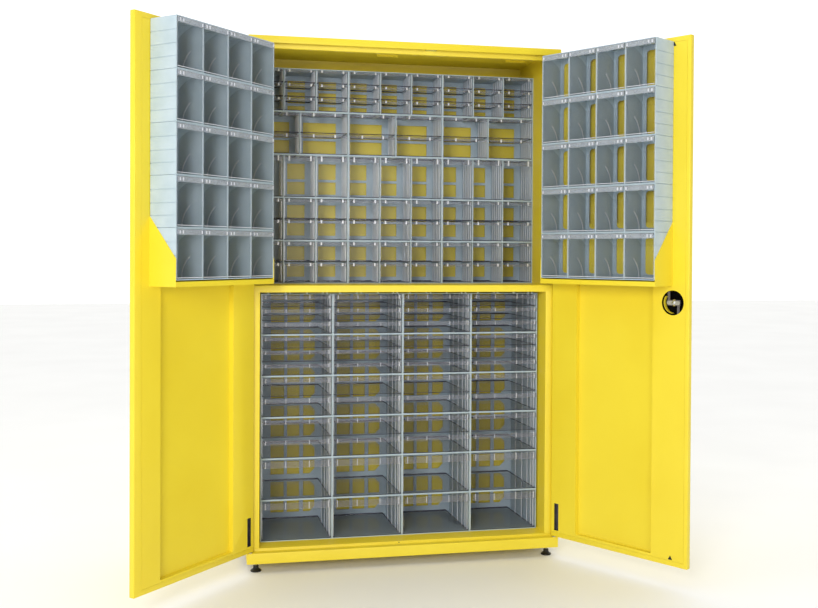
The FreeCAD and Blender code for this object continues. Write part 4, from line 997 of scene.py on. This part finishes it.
def coat_nodes():
    """Give the CAD nodes that stay in view their materials."""
    for nodes, coat in ((PLATED_NODES, ZINC), (STEEL_NODES, STEEL_AND_SLOT_SHADE), (LOCK_SHADE_NODES, LOCK_SHADE_BLACK),
                        (BLACK_NODES, BLACK_AND_HOLE_SHADE)):
        for name in nodes:
            for material_slot in frame["nodes"][name].material_slots:
                material_slot.material = coat


# Stage: floor, light and camera

CAMERA_PLACE = Vector((-0.7754, -3.9620, 1.1812))
CAMERA_YAW, CAMERA_PITCH, CAMERA_ROLL = 0.205, -0.013, 0.005
CAMERA_LENS, CAMERA_SENSOR = 44.602, 36
CAMERA_SHIFT = (-0.0004, -0.0459)
FLOOR_SIZE = 40
# Soft boxes: name, place, aim, width, power in watts
SOFT_BOXES = (("key_box", (-2.35, -5.3, 2.2), (0, 0, 1.0), 1.5, 145),
              ("front_box", (0.4, -5.6, 1.4), (0, 0, 1.0), 1.5, 38))
# The pale sky is brightest above and behind the cabinet, and dimmest in front of it.
SKY_WAY = (-0.1, 0.7, 0.7)
SKY_RANGE, SKY_STRENGTH = (-0.45, 0.6), (0.12, 1.25)
# Clear walls that a ray may pass before it ends
CLEAR_LAYERS = 32


def camera():
    """The photograph's point of view."""
    look = Vector((math.sin(CAMERA_YAW) * math.cos(CAMERA_PITCH),
                   math.cos(CAMERA_YAW) * math.cos(CAMERA_PITCH), math.sin(CAMERA_PITCH)))
    level = Vector((math.cos(CAMERA_YAW), -math.sin(CAMERA_YAW), 0))
    upright = level.cross(look)
    across = level * math.cos(CAMERA_ROLL) + upright * math.sin(CAMERA_ROLL)
    top = upright * math.cos(CAMERA_ROLL) - level * math.sin(CAMERA_ROLL)
    data = bpy.data.cameras.new("photo_camera")
    data.sensor_width, data.lens = CAMERA_SENSOR, CAMERA_LENS
    data.shift_x, data.shift_y = CAMERA_SHIFT
    made = bpy.data.objects.new("photo_camera", data)
    made.matrix_world = Matrix.Translation(CAMERA_PLACE) @ Matrix((across, top, -look)).transposed().to_4x4()
    bpy.context.scene.collection.objects.link(made)
    bpy.context.scene.camera = made


def stage():
    """Pale floor, pale sky and soft boxes."""
    bm = bmesh.new()
    bmesh.ops.create_grid(bm, x_segments=1, y_segments=1, size=FLOOR_SIZE / 2)
    mesh = mould_of(bm, "studio_floor")
    mesh.materials.append(FLOOR)
    floor = bpy.data.objects.new("studio_floor", mesh)
    bpy.context.scene.collection.objects.link(floor)
    for name, place, aim, width, power in SOFT_BOXES:
        lamp = bpy.data.lights.new(name, "AREA")
        lamp.size, lamp.energy = width, power
        made = bpy.data.objects.new(name, lamp)
        way = Vector(aim) - Vector(place)
        made.matrix_world = Matrix.Translation(place) @ way.to_track_quat("-Z", "Y").to_matrix().to_4x4()
        bpy.context.scene.collection.objects.link(made)
    world = bpy.data.worlds.new("pale_sky")
    world.use_nodes = True
    sky = world.node_tree.nodes["Background"]
    sky.inputs["Color"].default_value = linear("FFFFFF")
    way = add(world.node_tree, "ShaderNodeTexCoord").outputs["Generated"]
    lean = add(world.node_tree, "ShaderNodeVectorMath", {0: way, 1: SKY_WAY}, operation="DOT_PRODUCT")
    strength = add(world.node_tree, "ShaderNodeMapRange", {
        "Value": lean.outputs["Value"], "From Min": SKY_RANGE[0], "From Max": SKY_RANGE[1],
        "To Min": SKY_STRENGTH[0], "To Max": SKY_STRENGTH[1]})
    world.node_tree.links.new(strength.outputs["Result"], sky.inputs["Strength"])
    bpy.context.scene.world = world
    bpy.context.scene.view_settings.view_transform = "Standard"
    bpy.context.scene.cycles.transparent_max_bounces = CLEAR_LAYERS


base_tray()
roof_cap()
side_panels()
back_panel()
inner_sheets()
feet()
for door_side in SIDES:
    door_panel(door_side)
    door_liner(door_side)
    rack_tray(door_side)
    racks(door_side)
    bins(door_side)
key_marks()
lock_guard()
lock_rosette()
lock_handle()
lock_cam()
drawer_block("upper", UPPER_ROWS, UPPER_COLUMNS)
drawer_block("lower", LOWER_ROWS, LOWER_COLUMNS)
coat_nodes()
camera()
stage()
